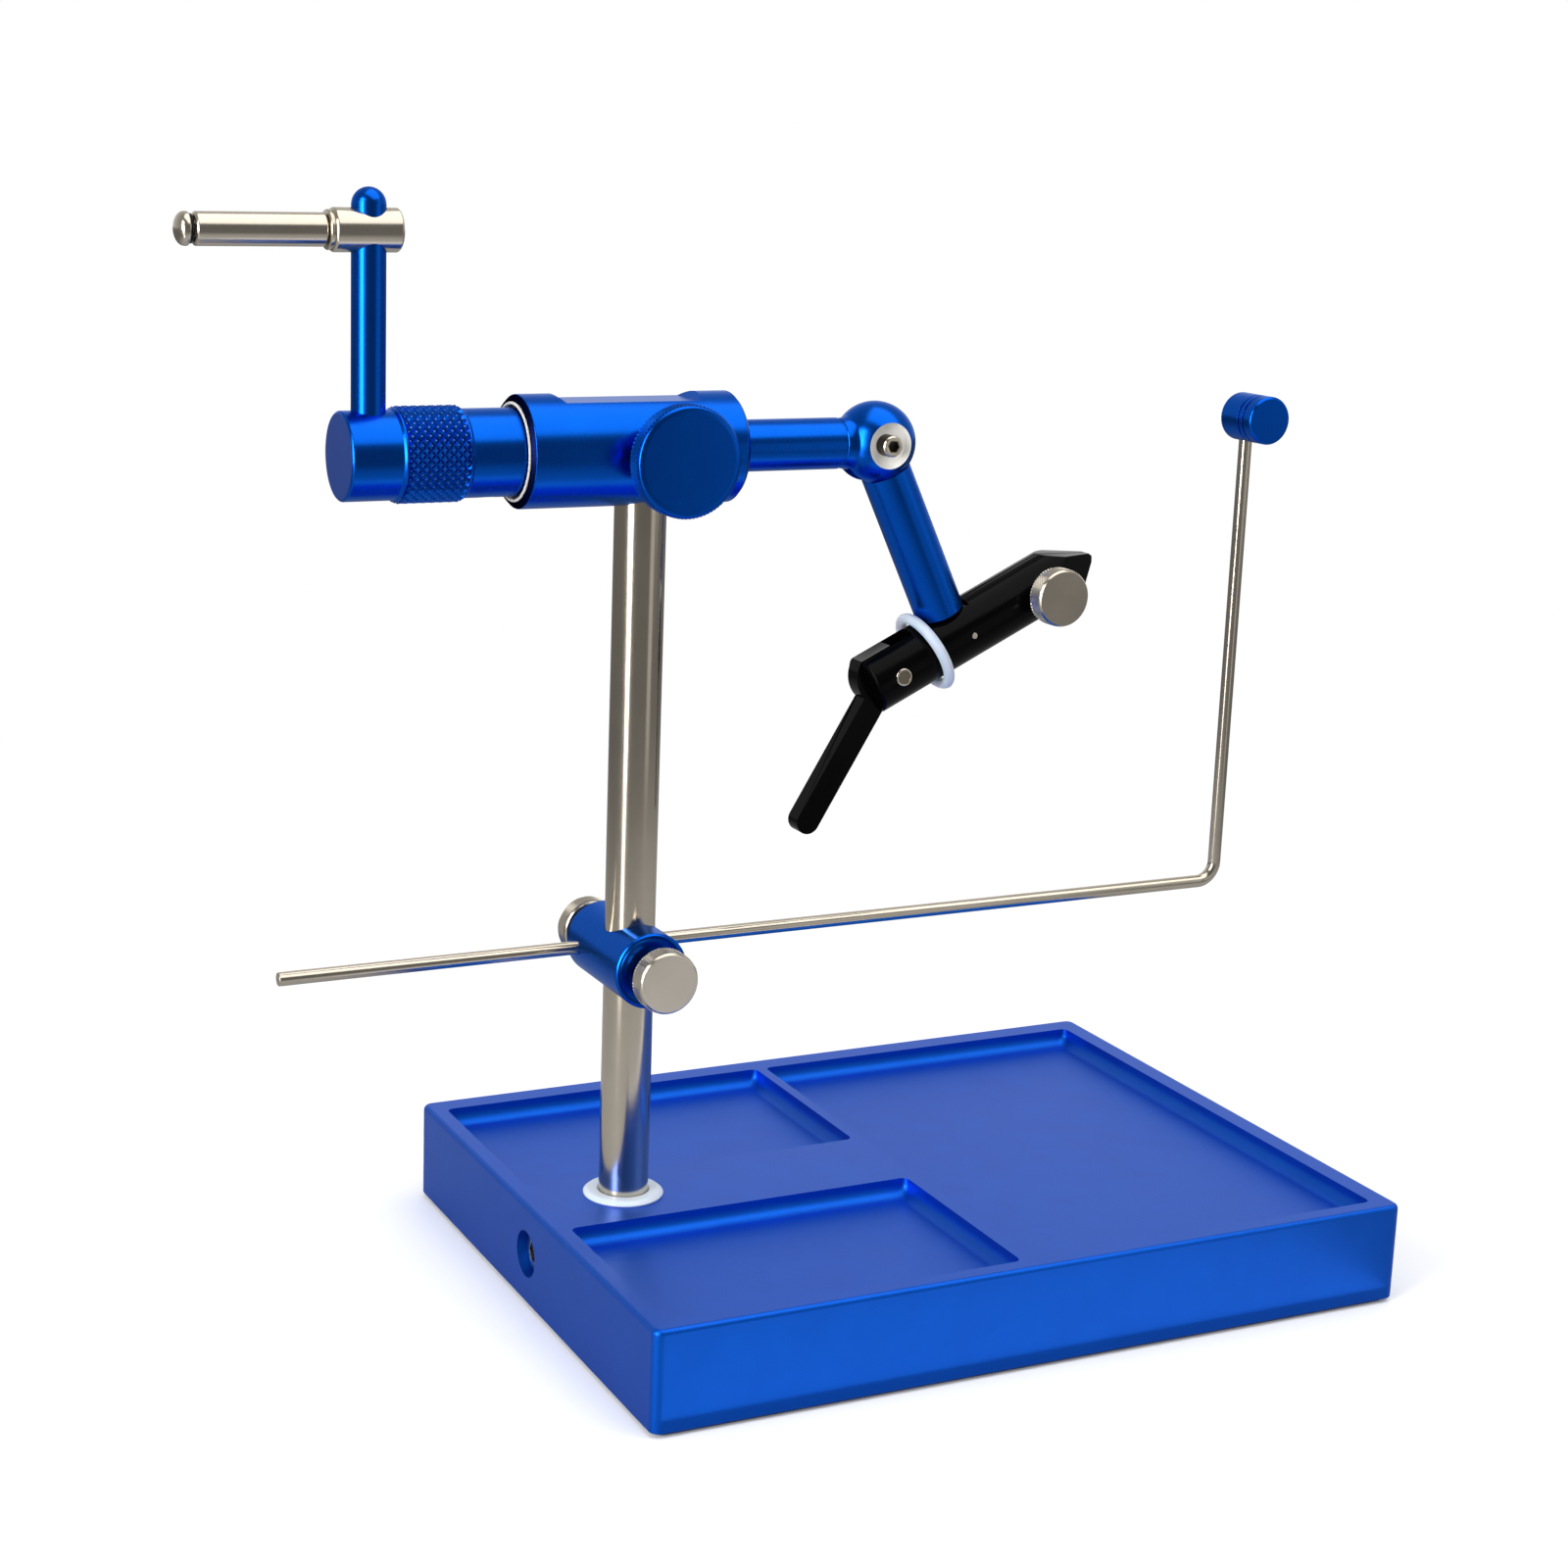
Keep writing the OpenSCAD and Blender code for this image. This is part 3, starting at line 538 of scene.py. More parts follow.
def bar_outline(radius: float, start: float, end: float, chamfer: float = 0.4, ease: float = 0.12) -> list[Corner]:
    """Draws a plain bar with a chamfer at either end.

    Args:
        radius: The bar's radius in mm.
        start: Height of its first end.
        end: Height of its other end.
        chamfer: Size of the chamfers.
        ease: Rounding of the corners.

    Returns:
        The outline.
    """
    return [
        (radius * 0.5, start, 0.0),
        (radius - chamfer, start, ease),
        (radius, start + chamfer, ease),
        (radius, end - chamfer, ease),
        (radius - chamfer, end, ease),
        (radius * 0.5, end, 0.0),
    ]


def tube_outline(outer: float, inner: float, start: float, end: float, chamfer: float, ease: float) -> list[Corner]:
    """Draws a tube or washer with its outer corners chamfered.

    Args:
        outer: Outer radius in mm.
        inner: Inner radius.
        start: Height of its first end.
        end: Height of its other end.
        chamfer: Size of the outer chamfers.
        ease: Rounding of the corners.

    Returns:
        The outline, closed.
    """
    return [
        (inner, start + 0.01, 0.0),
        (inner + 0.05, start, 0.0),
        (outer - chamfer, start, ease),
        (outer, start + chamfer, ease),
        (outer, end - chamfer, ease),
        (outer - chamfer, end, ease),
        (inner + 0.05, end, 0.0),
        (inner, end - 0.01, 0.0),
        (inner, start + 0.01, 0.0),
    ]


def ball_outline(radius: float, centre: float, first: float, last: float) -> list[Corner]:
    """Draws a ball or most of one, and closes it in a point.

    Args:
        radius: The ball's radius in mm.
        centre: Height of its centre.
        first: Angle from the lower pole where the outline starts, in radians.
        last: Angle where the even steps end.

    Returns:
        The outline.
    """
    angles = [first + (last - first) * step / BALL_STEPS for step in range(BALL_STEPS + 1)]
    outline = [(radius * math.sin(angle), centre - radius * math.cos(angle), 0.0) for angle in angles]
    return outline + [(0.0, centre + radius, 0.0)]


def settle(piece: Piece, matrix: Matrix) -> Piece:
    """Moves a piece and puts its place into its mesh.

    Args:
        piece: The piece.
        matrix: The move.

    Returns:
        The piece.
    """
    only(piece)
    piece.matrix_world = matrix @ piece.matrix_world
    bpy.ops.object.transform_apply(location=True, rotation=True, scale=True)
    return piece


def primitive(add: Callable[..., object], name: str, **shape: object) -> Piece:
    """Adds a primitive and puts its place into its mesh.

    Args:
        add: The operator that adds it.
        name: The piece's name.
        **shape: What the operator takes, in metres.

    Returns:
        The piece.
    """
    add(**shape)
    piece = bpy.context.active_object
    piece.name = name
    bpy.ops.object.transform_apply(location=True, rotation=True, scale=True)
    return piece


def turned(name: str, outline: Sequence[Corner], along: Along, sides: int = MIDDLE, tube: bool = False) -> Piece:
    """Turns a piece ring by ring, as on a lathe.

    Args:
        name: The piece's name.
        outline: Radius, height and ease of each corner, in mm. A last radius of 0 closes in a point.
        along: The axis that it is turned about.
        sides: Sides of the round.
        tube: Whether the outline comes back to its start, so that the piece has a bore.

    Returns:
        The piece, still in its sub-assembly's own place.
    """
    rings = softened(outline)
    radius, height = rings[0]
    piece = primitive(
        bpy.ops.mesh.primitive_circle_add,
        name,
        vertices=sides,
        radius=radius * MM,
        fill_type="NOTHING" if tube else "NGON",
        location=(0, 0, height * MM),
    )
    open_edit(piece, "EDGE" if tube else "FACE", "SELECT")
    for next_radius, next_height in rings[1:]:
        rise = (0.0, 0.0, (next_height - height) * MM)
        bpy.ops.mesh.extrude_region_move(TRANSFORM_OT_translate={"value": rise})
        if next_radius <= 0:
            bpy.ops.mesh.merge(type="CENTER")
            break
        if abs(next_radius - radius) > 1e-9:
            ratio = next_radius / radius
            bpy.ops.transform.resize(value=(ratio, ratio, 1.0), center_override=(0.0, 0.0, next_height * MM))
        radius, height = next_radius, next_height
    bpy.ops.mesh.select_all(action="SELECT")
    bpy.ops.mesh.remove_doubles(threshold=0.0005 * MM)
    bpy.ops.mesh.normals_make_consistent(inside=False)
    close_edit()
    return settle(piece, along.turn())


def block(name: str, low: Point, high: Point) -> Piece:
    """Makes a block between two corners.

    Args:
        name: The piece's name.
        low: The corner with the lower values, in mm.
        high: The opposite corner.

    Returns:
        The block.
    """
    middle = [(a + b) / 2 * MM for a, b in zip(low, high)]
    size = [(b - a) * MM for a, b in zip(low, high)]
    return primitive(bpy.ops.mesh.primitive_cube_add, name, size=1.0, location=middle, scale=size)


def drill(
    radius: float, start: float, end: float, along: Along, at: Point = (0.0, 0.0, 0.0), sides: int = SMALL
) -> Piece:
    """Makes a round or hexagonal tool for cutting a hole.

    Args:
        radius: Radius in mm.
        start: Where it starts on its axis.
        end: Where it ends.
        along: Its axis.
        at: A point that the axis passes, from which start and end count.
        sides: Sides of the round, or of the hexagon.

    Returns:
        The tool.
    """
    tool = primitive(
        bpy.ops.mesh.primitive_cylinder_add,
        "drill",
        vertices=sides,
        radius=radius * MM,
        depth=(end - start) * MM,
        location=(0, 0, (start + end) / 2 * MM),
    )
    return settle(tool, Matrix.Translation(Vector(at) * MM) @ along.turn())


def carve(piece: Piece, *tools: Piece, how: str = "DIFFERENCE") -> Piece:
    """Cuts tools out of a piece, or joins them to it, and deletes the tools.

    Args:
        piece: The piece.
        *tools: What cuts it.
        how: DIFFERENCE, UNION or INTERSECT.

    Returns:
        The piece.
    """
    for tool in tools:
        applied(piece, "BOOLEAN", operation=how, solver="EXACT", object=tool)
        bpy.data.objects.remove(tool)
    return piece


def slice_off(piece: Piece, through: Point, outward: Point) -> None:
    """Cuts a piece by a plane, drops what lies outward of it and closes the cut.

    Args:
        piece: The piece.
        through: A point of the plane in mm.
        outward: The direction of what is dropped.
    """
    open_edit(piece, "VERT", "SELECT")
    bpy.ops.mesh.bisect(
        plane_co=Vector(through) * MM, plane_no=Vector(outward).normalized(), use_fill=True, clear_outer=True
    )
    close_edit()


def ease_edges(piece: Piece, width: float, angle: float = 35.0, steps: int = 2) -> None:
    """Rounds every edge of a piece that is sharper than an angle.

    Args:
        piece: The piece.
        width: Width of the rounding in mm.
        angle: The angle in degrees.
        steps: Steps of the rounding.
    """
    applied(
        piece, "BEVEL", width=width * MM, segments=steps, limit_method="ANGLE", angle_limit=math.radians(angle)
    )


def numbered(piece: Piece, test: Test, number: int = 1) -> None:
    """Gives some of a piece's faces another of its materials.

    Args:
        piece: The piece.
        test: Takes a face's middle, in mm, and its normal.
        number: The material's number among those that dressed gives the piece.
    """
    while len(piece.data.materials) <= number:
        piece.data.materials.append(None)
    for face in piece.data.polygons:
        if test(face.center / MM, face.normal):
            face.material_index = number


def joined(piece: Piece, other: Piece) -> None:
    """Joins another piece to a piece as one object.

    Args:
        piece: The piece that stays.
        other: The piece that goes into it.
    """
    only(piece)
    other.select_set(True)
    bpy.ops.object.join()


def knurled_band(
    radius: float, start: float, end: float, pitch: float, depth: float, along: Along, flat: float = 0.0
) -> Piece:
    """Makes a band of diamond knurling.

    Args:
        radius: Radius over the points of the knurls, in mm.
        start: Where the band starts on its axis.
        end: Where it ends.
        pitch: Width and length of a diamond.
        depth: Height of its point.
        along: The band's axis.
        flat: How far each point is cut back, 0 for sharp ones.

    Returns:
        The band, closed at its ends.
    """

    def around(middle: Vector, normal: Vector) -> bool:
        """Tells the faces of the round from the two ends."""
        return abs(normal.z) < 0.5

    band = primitive(
        bpy.ops.mesh.primitive_cylinder_add,
        "knurling",
        vertices=round(2 * math.pi * radius / pitch),
        radius=(radius - depth) * MM,
        depth=(end - start) * MM,
        location=(0, 0, (start + end) / 2 * MM),
    )
    open_edit(band)
    pick_edges(band, lambda a, b: abs(a.z - b.z) > (end - start) / 2)
    rows = max(2, round((end - start) / pitch))
    bpy.ops.mesh.subdivide(number_cuts=rows - 1)
    lattice = len(bmesh.from_edit_mesh(band.data).verts)
    bpy.ops.mesh.select_mode(type="FACE")
    pick_faces(band, around)
    bpy.ops.mesh.poke(offset=0.0)
    # Each pair of triangles across an old edge becomes one diamond.
    bpy.ops.mesh.select_mode(type="EDGE")
    mesh = bmesh.from_edit_mesh(band.data)
    mesh.verts.index_update()
    for edge in mesh.edges:
        old = all(vertex.index < lattice for vertex in edge.verts)
        inner = all(around(face.calc_center_median(), face.normal) for face in edge.link_faces)
        edge.select_set(old and inner)
    mesh.select_flush_mode()
    bmesh.update_edit_mesh(band.data)
    bpy.ops.mesh.dissolve_edges(use_verts=False)
    bpy.ops.mesh.select_mode(type="FACE")
    pick_faces(band, around)
    bpy.ops.mesh.poke(offset=depth * MM)
    if flat > 0:
        mesh = bmesh.from_edit_mesh(band.data)
        bpy.ops.mesh.select_mode(type="VERT")
        for vertex in mesh.verts:
            vertex.select_set(vertex.co.xy.length > (radius - depth * 0.3) * MM)
        mesh.select_flush_mode()
        bmesh.update_edit_mesh(band.data)
        bpy.ops.mesh.bevel(offset_type="OFFSET", offset=flat * MM, segments=1, affect="VERTICES")
    close_edit()
    return settle(band, along.turn())


def dressed(piece: Piece, seat: Seat, body: str, slot: str, *materials: bpy.types.Material) -> None:
    """Seats a finished piece, gives it its materials, and lets it stand for the CAD node of its name.

    Args:
        piece: The piece in its sub-assembly's own place, named after its node with _shown added.
        seat: The sub-assembly's place.
        body: The CAD body that it rides on.
        slot: The record's material slot; not used.
        *materials: The piece's materials; faces keep the numbers that they have.
    """
    settle(piece, seat.matrix())
    bpy.ops.object.shade_smooth_by_angle(angle=math.radians(SMOOTH_BELOW))
    applied(piece, "WEIGHTED_NORMAL", keep_sharp=True)
    numbers = [face.material_index for face in piece.data.polygons]
    piece.data.materials.clear()
    for material in materials:
        piece.data.materials.append(material)
    for face, number in zip(piece.data.polygons, numbers):
        face.material_index = number
    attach(piece, body)
    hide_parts(piece.name.removesuffix("_shown"))
    LOG.info("%s: %d faces, rides on %s", piece.name, len(piece.data.polygons), body)


def kept(node: str, material: bpy.types.Material) -> None:
    """Gives a CAD node that stays as it is its finished material.

    Args:
        node: The node's name.
        material: The material.
    """
    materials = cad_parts[node].data.materials
    materials.clear()
    materials.append(material)


@dataclass
class Base:
    """The plate with its three pockets, the rubber under it, its set screw and the post's washer."""

    length: float = 158.0
    depth: float = 118.0
    top: float = 20.0
    pad: float = 0.8
    pad_inset: float = 1.2
    corner: float = 2.0
    edge: float = 1.0
    foot_edge: float = 0.3
    pocket_depth: float = 3.5
    cove: float = 2.5
    pocket_corner: float = 1.3
    pockets: tuple[tuple[float, float, float, float], ...] = (
        (-75.4, -4.4, -55.4, -12.6),
        (-75.4, -4.4, 9.4, 53.6),
        (-2.2, 74.2, -55.4, 53.6),
    )
    post_hole: float = 4.8
    post_foot: float = 5.0
    screw: float = 4.0
    screw_inset: float = 1.7
    screw_socket: float = 2.3

    def pocket(self, left: float, right: float, front: float, back: float) -> Piece:
        """Makes the tool that cuts one pocket, coved at its foot.

        Args:
            left: The pocket's left side, in mm.
            right: Its right side.
            front: Its front.
            back: Its back.

        Returns:
            The tool.
        """
        floor = self.top - self.pocket_depth

        def on_corner(point: Vector) -> bool:
            """Tells whether a point is as far from the nearest side as from the nearest end."""
            return abs(min(point.x - left, right - point.x) - min(point.y - front, back - point.y)) < 0.02

        tool = block("pocket", (left, front, floor), (right, back, self.top + 4))
        open_edit(tool)
        pick_edges(tool, lambda a, b: a.z < floor + 0.01 and b.z < floor + 0.01)
        bevel_selected(self.cove, 8)
        pick_edges(tool, lambda a, b: abs(a.z - b.z) > 0.01 and on_corner(a) and on_corner(b))
        bevel_selected(self.pocket_corner, 4)
        close_edit()
        return tool

    def plate(self) -> None:
        """Builds the plate: a slab rounded at its top edge, its pockets, the post's and the screw's holes."""
        half, deep = self.length / 2, self.depth / 2
        plate = block("base_plate_shown", (-half, -deep, self.pad), (half, deep, self.top))
        open_edit(plate)
        pick_edges(plate, lambda a, b: abs(a.z - b.z) > 1)
        bevel_selected(self.corner, 6)
        pick_edges(plate, lambda a, b: min(a.z, b.z) > self.top - 0.01)
        bevel_selected(self.edge, 4)
        pick_edges(plate, lambda a, b: max(a.z, b.z) < self.pad + 0.01)
        bevel_selected(self.foot_edge, 2)
        close_edit()
        carve(plate, *(self.pocket(*sides) for sides in self.pockets))
        middle = (self.top + self.pad) / 2
        carve(plate, drill(self.post_hole, self.post_foot, self.top + 2, Along.Z, (POST.x, 0, 0)))
        carve(plate, drill(self.screw + 0.5, -half - 1, 3 - half, Along.X, (0, 0, middle)))
        carve(plate, drill(self.screw + 0.02, 2 - half, POST.x, Along.X, (0, 0, middle)))
        ease_edges(plate, 0.22, 32.0)
        dressed(plate, BENCH, "base", "blue_anodised", BLASTED_BLUE.made(Grain.BLASTED))

    def rubber(self) -> None:
        """Builds the rubber sheet."""
        half, deep = self.length / 2 - self.pad_inset, self.depth / 2 - self.pad_inset
        sheet = block("base_pad_shown", (-half, -deep, 0), (half, deep, self.pad))
        open_edit(sheet)
        pick_edges(sheet, lambda a, b: abs(a.z - b.z) > 0.1)
        bevel_selected(self.corner, 6)
        close_edit()
        ease_edges(sheet, 0.15)
        dressed(sheet, BENCH, "base", "sheet_rubber", SHEET_RUBBER.made())

    def set_screw(self) -> None:
        """Builds the set screw, from just inside its hole to the post, with its hexagonal socket."""
        start, end = self.screw_inset - self.length / 2, POST.x - 4.85
        screw = turned("base_set_screw_shown", bar_outline(self.screw, start, end), Along.X, SMALL)
        carve(screw, drill(self.screw_socket, start - 1, start + 4, Along.X, sides=HEXAGON))
        ease_edges(screw, 0.1)
        place = Seat(0, 0, (self.top + self.pad) / 2)
        dressed(screw, place, "base", "steel", TURNED_STEEL.made(Grain.ROUND_X))

    def washer(self) -> None:
        """Builds the washer at the post's foot."""
        outline = [
            (4.8, 0.02, 0.0), (4.9, 0.0, 0.0), (7.6, 0.0, 0.1), (7.7, 0.35, 0.2), (6.9, 0.98, 0.3),
            (5.1, 1.0, 0.1), (4.8, 0.8, 0.1), (4.8, 0.02, 0.0),
        ]
        washer = turned("post_washer_shown", outline, Along.Z, tube=True)
        dressed(washer, Seat(POST.x, 0, self.top), "base", "nylon", NYLON.made())

    def build(self) -> None:
        """Builds every piece of the base."""
        self.plate()
        self.rubber()
        self.set_screw()
        self.washer()


@dataclass
class PostAndHead:
    """The post, the head that it carries, the thrust washer and the brake."""

    post_radius: float = 4.75
    post_foot: float = 5.1
    post_top: float = 157.2
    cap_radius: float = 4.0
    head_radius: float = 10.1
    rear: float = 25.0
    front: float = 17.2
    flat: float = 1.2
    collar: float = 7.1
    brake_radius: float = 10.1
    brake_back: float = 12.4
    brake_thick: float = 4.2
    boss: float = 6.0
    boss_end: float = 10.4

    def post(self) -> None:
        """Builds the post, chamfered at its foot and stepped down where it enters the head."""
        r, cap, top = self.post_radius, self.cap_radius, self.post_top
        outline = [
            (2.5, self.post_foot, 0.0), (r - 0.5, self.post_foot, 0.1), (r, self.post_foot + 0.5, 0.1),
            (r, top - 2.4, 0.1), (cap, top - 2.3, 0.1), (cap, top, 0.1), (2.0, top, 0.0),
        ]
        post = turned("post_shown", outline, Along.Z)
        dressed(post, POST, "post", "steel", GROUND_STEEL.made(Grain.LONG_Z))

    def head(self) -> None:
        """Builds the head with its bore, the flat milled along its top and the post's seat."""
        r, rear, front = self.head_radius, self.rear, self.front
        outline = [
            (4.4, 1.5 - rear, 0.0), (8.82, 1.5 - rear, 0.0), (8.82, 0.1 - rear, 0.1), (9.0, -rear, 0.1),
            (r - 0.8, -rear, 0.12), (r, 0.8 - rear, 0.12), (r, front - 0.8, 0.12), (r - 0.8, front, 0.12),
            (5.2, front, 0.1), (5.05, front - 0.2, 0.1), (5.05, front - 1.2, 0.0), (4.4, front - 1.2, 0.0),
            (4.4, 1.5 - rear, 0.0),
        ]
        head = turned("head_body_shown", outline, Along.X, LARGE, tube=True)
        start, end = self.collar + self.flat - rear, front - self.collar - self.flat
        cut = r - self.flat
        mill = block("mill", (start, -r - 2, cut), (end, r + 2, cut + 4))
        open_edit(mill, "FACE")
        pick_faces(mill, lambda middle, normal: normal.z > 0.9)
        wide = (end - start + 8) / (end - start)
        bpy.ops.transform.resize(value=(wide, 1.0, 1.0), center_override=((start + end) / 2 * MM, 0.0, 0.0))
        close_edit()
        carve(head, mill, drill(self.post_radius + 0.02, -r - 2, 2.6 - r, Along.Z))
        ease_edges(head, 0.22, 24.0)
        # The rear end and its chamfer get the painted shade blue.
        numbered(head, lambda middle, normal: middle.x < 0.7 - rear and normal.x < -0.3)
        dressed(head, HEAD, "post", "blue_anodised", TURNED_BLUE.made(Grain.ROUND_X), PAINTED_SHADE_BLUE.made(Grain.BLASTED))

    def thrust(self) -> None:
        """Builds the bright washer that the crank's hub runs on, its lip standing out of the head."""
        seat, back = 0.5 - self.rear, 1.5 - self.rear
        outline = [
            (4.3, seat + 0.01, 0.0), (4.35, seat, 0.0), (8.2, seat, 0.0), (8.3, -self.rear - 0.12, 0.05),
            (8.4, -self.rear - 0.2, 0.05), (8.65, -self.rear - 0.2, 0.08), (8.8, -self.rear - 0.08, 0.08),
            (8.8, back, 0.0), (4.35, back, 0.0), (4.3, back - 0.01, 0.0), (4.3, seat + 0.01, 0.0),
        ]
        washer = turned("thrust_washer_shown", outline, Along.X, tube=True)
        # The recessed inner ring gets the painted shade steel.
        numbered(washer, lambda middle, normal: abs(normal.x) > 0.9 and middle.x > -self.rear)
        dressed(washer, HEAD, "post", "steel", SATIN_ALUMINIUM.made(Grain.ROUND_X), PAINTED_SHADE_STEEL.made(Grain.ROUND_X))

    def brake(self) -> None:
        """Builds the brake knob: a plain domed-edge face, a knurled rim and a boss."""
        r, back = self.brake_radius, self.brake_back
        face = back + self.brake_thick
        outline = [
            (2.8, -self.boss_end, 0.0), (self.boss - 0.2, -self.boss_end, 0.15),
            (self.boss, -self.boss_end - 0.2, 0.15), (self.boss, -back, 0.2),
            (r - 0.7, -back, 0.15), (r - 0.25, -back - 0.45, 0.1), (r - 0.45, -back - 0.6, 0.05),
            (r - 0.45, -face + 0.75, 0.05), (r - 0.15, -face + 0.6, 0.1), (r - 0.45, -face + 0.12, 0.25),
            (r - 1.2, -face, 0.2), (r * 0.4, -face, 0.0),
        ]
        knob = turned("brake_knob_shown", outline, Along.Y, LARGE)
        joined(knob, knurled_band(r + 0.02, -face + 0.65, -back - 0.5, 0.76, 0.26, Along.Y))
        dressed(knob, BRAKE, "brake", "blue_anodised", TURNED_BLUE.made(Grain.ROUND_Y))

    def build(self) -> None:
        """Builds every piece of the post, the head and the brake."""
        self.post()
        self.head()
        self.thrust()
        self.brake()
        kept("rear_bush", BRONZE.made(Grain.ROUND_X))
        kept("front_bush", BRONZE.made(Grain.ROUND_X))
        kept("brake_stud", TURNED_STEEL.made(Grain.ROUND_Y))
        kept("brake_plug", NYLON.made())


@dataclass
class Crank:
    """The hub behind the head, its arm and the turning handle."""

    hub_end: float = -56.8
    hub_radius: float = 7.8
    hub_front: float = -25.0
    band: tuple[float, float] = (-47.2, -35.1)
    arm_at: float = -51.5
    arm_radius: float = 3.0
    dome_top: float = 45.4
    collar_back: float = 7.6
    collar_front: float = 5.3
    sleeve_length: float = 22.6
    ring_width: float = 0.7
    play: float = 0.1

    def sleeve_start(self) -> float:
        """Returns where the sleeve starts behind the collar, in mm."""
        return self.arm_at - self.collar_back - self.play

    def hub(self) -> None:
        """Builds the hub with its knurled band and the arm's socket."""
        r, start, end = self.hub_radius, self.band[0], self.band[1]
        outline = [
            (2.0, self.hub_end, 0.0), (r - 0.35, self.hub_end, 0.12), (r, self.hub_end + 0.35, 0.12),
            (r, start - 0.35, 0.08), (8.2, start + 0.05, 0.08), (8.2, start + 0.38, 0.05),
            (7.9, start + 0.45, 0.0), (7.9, end - 0.4, 0.0), (8.15, end - 0.33, 0.05),
            (8.15, end - 0.05, 0.08), (r, end + 0.35, 0.08), (r, self.hub_front, 0.12),
            (r - 0.3, self.hub_front + 0.35, 0.12), (5.0, self.hub_front + 0.4, 0.0),
        ]
        hub = turned("crank_hub_shown", outline, Along.X, LARGE)
        carve(hub, drill(self.arm_radius + 0.04, -2.9, 9.0, Along.Z, (self.arm_at, 0, 0)))
        carve(hub, drill(SCREW_HOLE, -9.0, -3.0, Along.Z, ((end + self.hub_front) / 2, 0, 0), PIN))
        ease_edges(hub, 0.12, 50.0)
        joined(hub, knurled_band(8.6, start + 0.4, end - 0.35, 1.72, 0.5, Along.X, 0.24))
        # The knurl's flat points get the pale blue: rubbed dye and a painted glint.
        numbered(hub, lambda middle, normal: math.hypot(middle.y, middle.z) > 8.4)
        numbered(hub, lambda middle, normal: middle.x < self.hub_end + 0.02, 2)
        finishes = [TURNED_BLUE.made(Grain.ROUND_X), RUBBED_GLINT_BLUE.made(Grain.BLASTED), FACED_BLUE.made(Grain.ROUND_X)]
        dressed(hub, HEAD, "spindle", "blue_anodised", *finishes)

    def arm(self) -> None:
        """Builds the arm with its domed end."""
        r, top = self.arm_radius, self.dome_top
        outline: list[Corner] = [(1.5, -2.9, 0.0), (r - 0.4, -2.9, 0.1), (r, -2.5, 0.1)]
        for step in range(9):
            angle = math.radians(step * 10)
            outline.append((r * math.cos(angle), top - r + r * math.sin(angle), 0.0))
        outline.append((0.0, top, 0.0))
        arm = turned("crank_arm_shown", outline, Along.Z, SMALL)
        place = HEAD.moved(x=self.arm_at)
        dressed(arm, place, "spindle", "blue_anodised", TURNED_BLUE.made(Grain.ROUND_Z))

    def collar(self) -> None:
        """Builds the steel collar on the arm."""
        start, end = self.arm_at - self.collar_back, self.arm_at + self.collar_front
        outline = [
            (1.8, start, 0.0), (3.2, start, 0.08), (3.4, start + 0.2, 0.08), (3.4, start + 0.55, 0.04),
            (3.15, start + 0.65, 0.03), (3.15, start + 0.85, 0.03), (3.5, start + 0.95, 0.05),
            (3.75, start + 1.3, 0.12), (3.75, end - 0.35, 0.12), (3.4, end, 0.12), (1.6, end, 0.0),
        ]
        collar = turned("handle_collar_shown", outline, Along.X)
        carve(collar, drill(self.arm_radius + 0.04, -9.0, 9.0, Along.Z, (self.arm_at, 0, 0)))
        ease_edges(collar, 0.12, 50.0)
        dressed(collar, HANDLE, "spindle", "steel", TURNED_STEEL.made(Grain.ROUND_X))

    def pin(self) -> None:
        """Builds the handle's pin with its domed button."""
        button = self.sleeve_start() - self.sleeve_length - self.ring_width - 2 * self.play
        outline: list[Corner] = [
            (1.0, self.arm_at - 3.1, 0.0), (1.7, self.arm_at - 3.1, 0.1), (1.7, button, 0.0),
            (2.75, button, 0.08), (2.85, button - 0.15, 0.08), (2.85, button - 0.6, 0.1),
        ]
        for step in range(1, 8):
            angle = math.radians(step * 11.5)
            outline.append((2.85 * math.cos(angle), button - 0.6 - 1.7 * math.sin(angle), 0.0))
        outline.append((0.0, button - 2.3, 0.0))
        pin = turned("handle_pin_shown", outline, Along.X, SMALL)
        dressed(pin, HANDLE, "spindle", "steel", TURNED_STEEL.made(Grain.ROUND_X))

    def ring(self) -> None:
        """Builds the dark ring between the sleeve and the button, its rim moulded round."""
        end = self.sleeve_start() - self.sleeve_length - self.play
        outline = tube_outline(2.5, 1.72, end - self.ring_width, end, 0.34, 0.3)
        ring = turned("grip_washer_shown", outline, Along.X, SMALL, tube=True)
        dressed(ring, HANDLE, "spindle", "sheet_rubber", O_RING.made())

    def sleeve(self) -> None:
        """Builds the sleeve that turns in the fingers."""
        end = self.sleeve_start()
        outline = tube_outline(2.85, 1.75, end - self.sleeve_length, end, 0.35, 0.12)
        sleeve = turned("handle_sleeve_shown", outline, Along.X, SMALL, tube=True)
        dressed(sleeve, HANDLE, "handle", "steel", TURNED_STEEL.made(Grain.ROUND_X))

    def build(self) -> None:
        """Builds every piece of the crank."""
        self.hub()
        self.arm()
        self.collar()
        self.pin()
        self.ring()
        self.sleeve()
        kept("hub_set_screw", TURNED_STEEL.made(Grain.ROUND_Z))


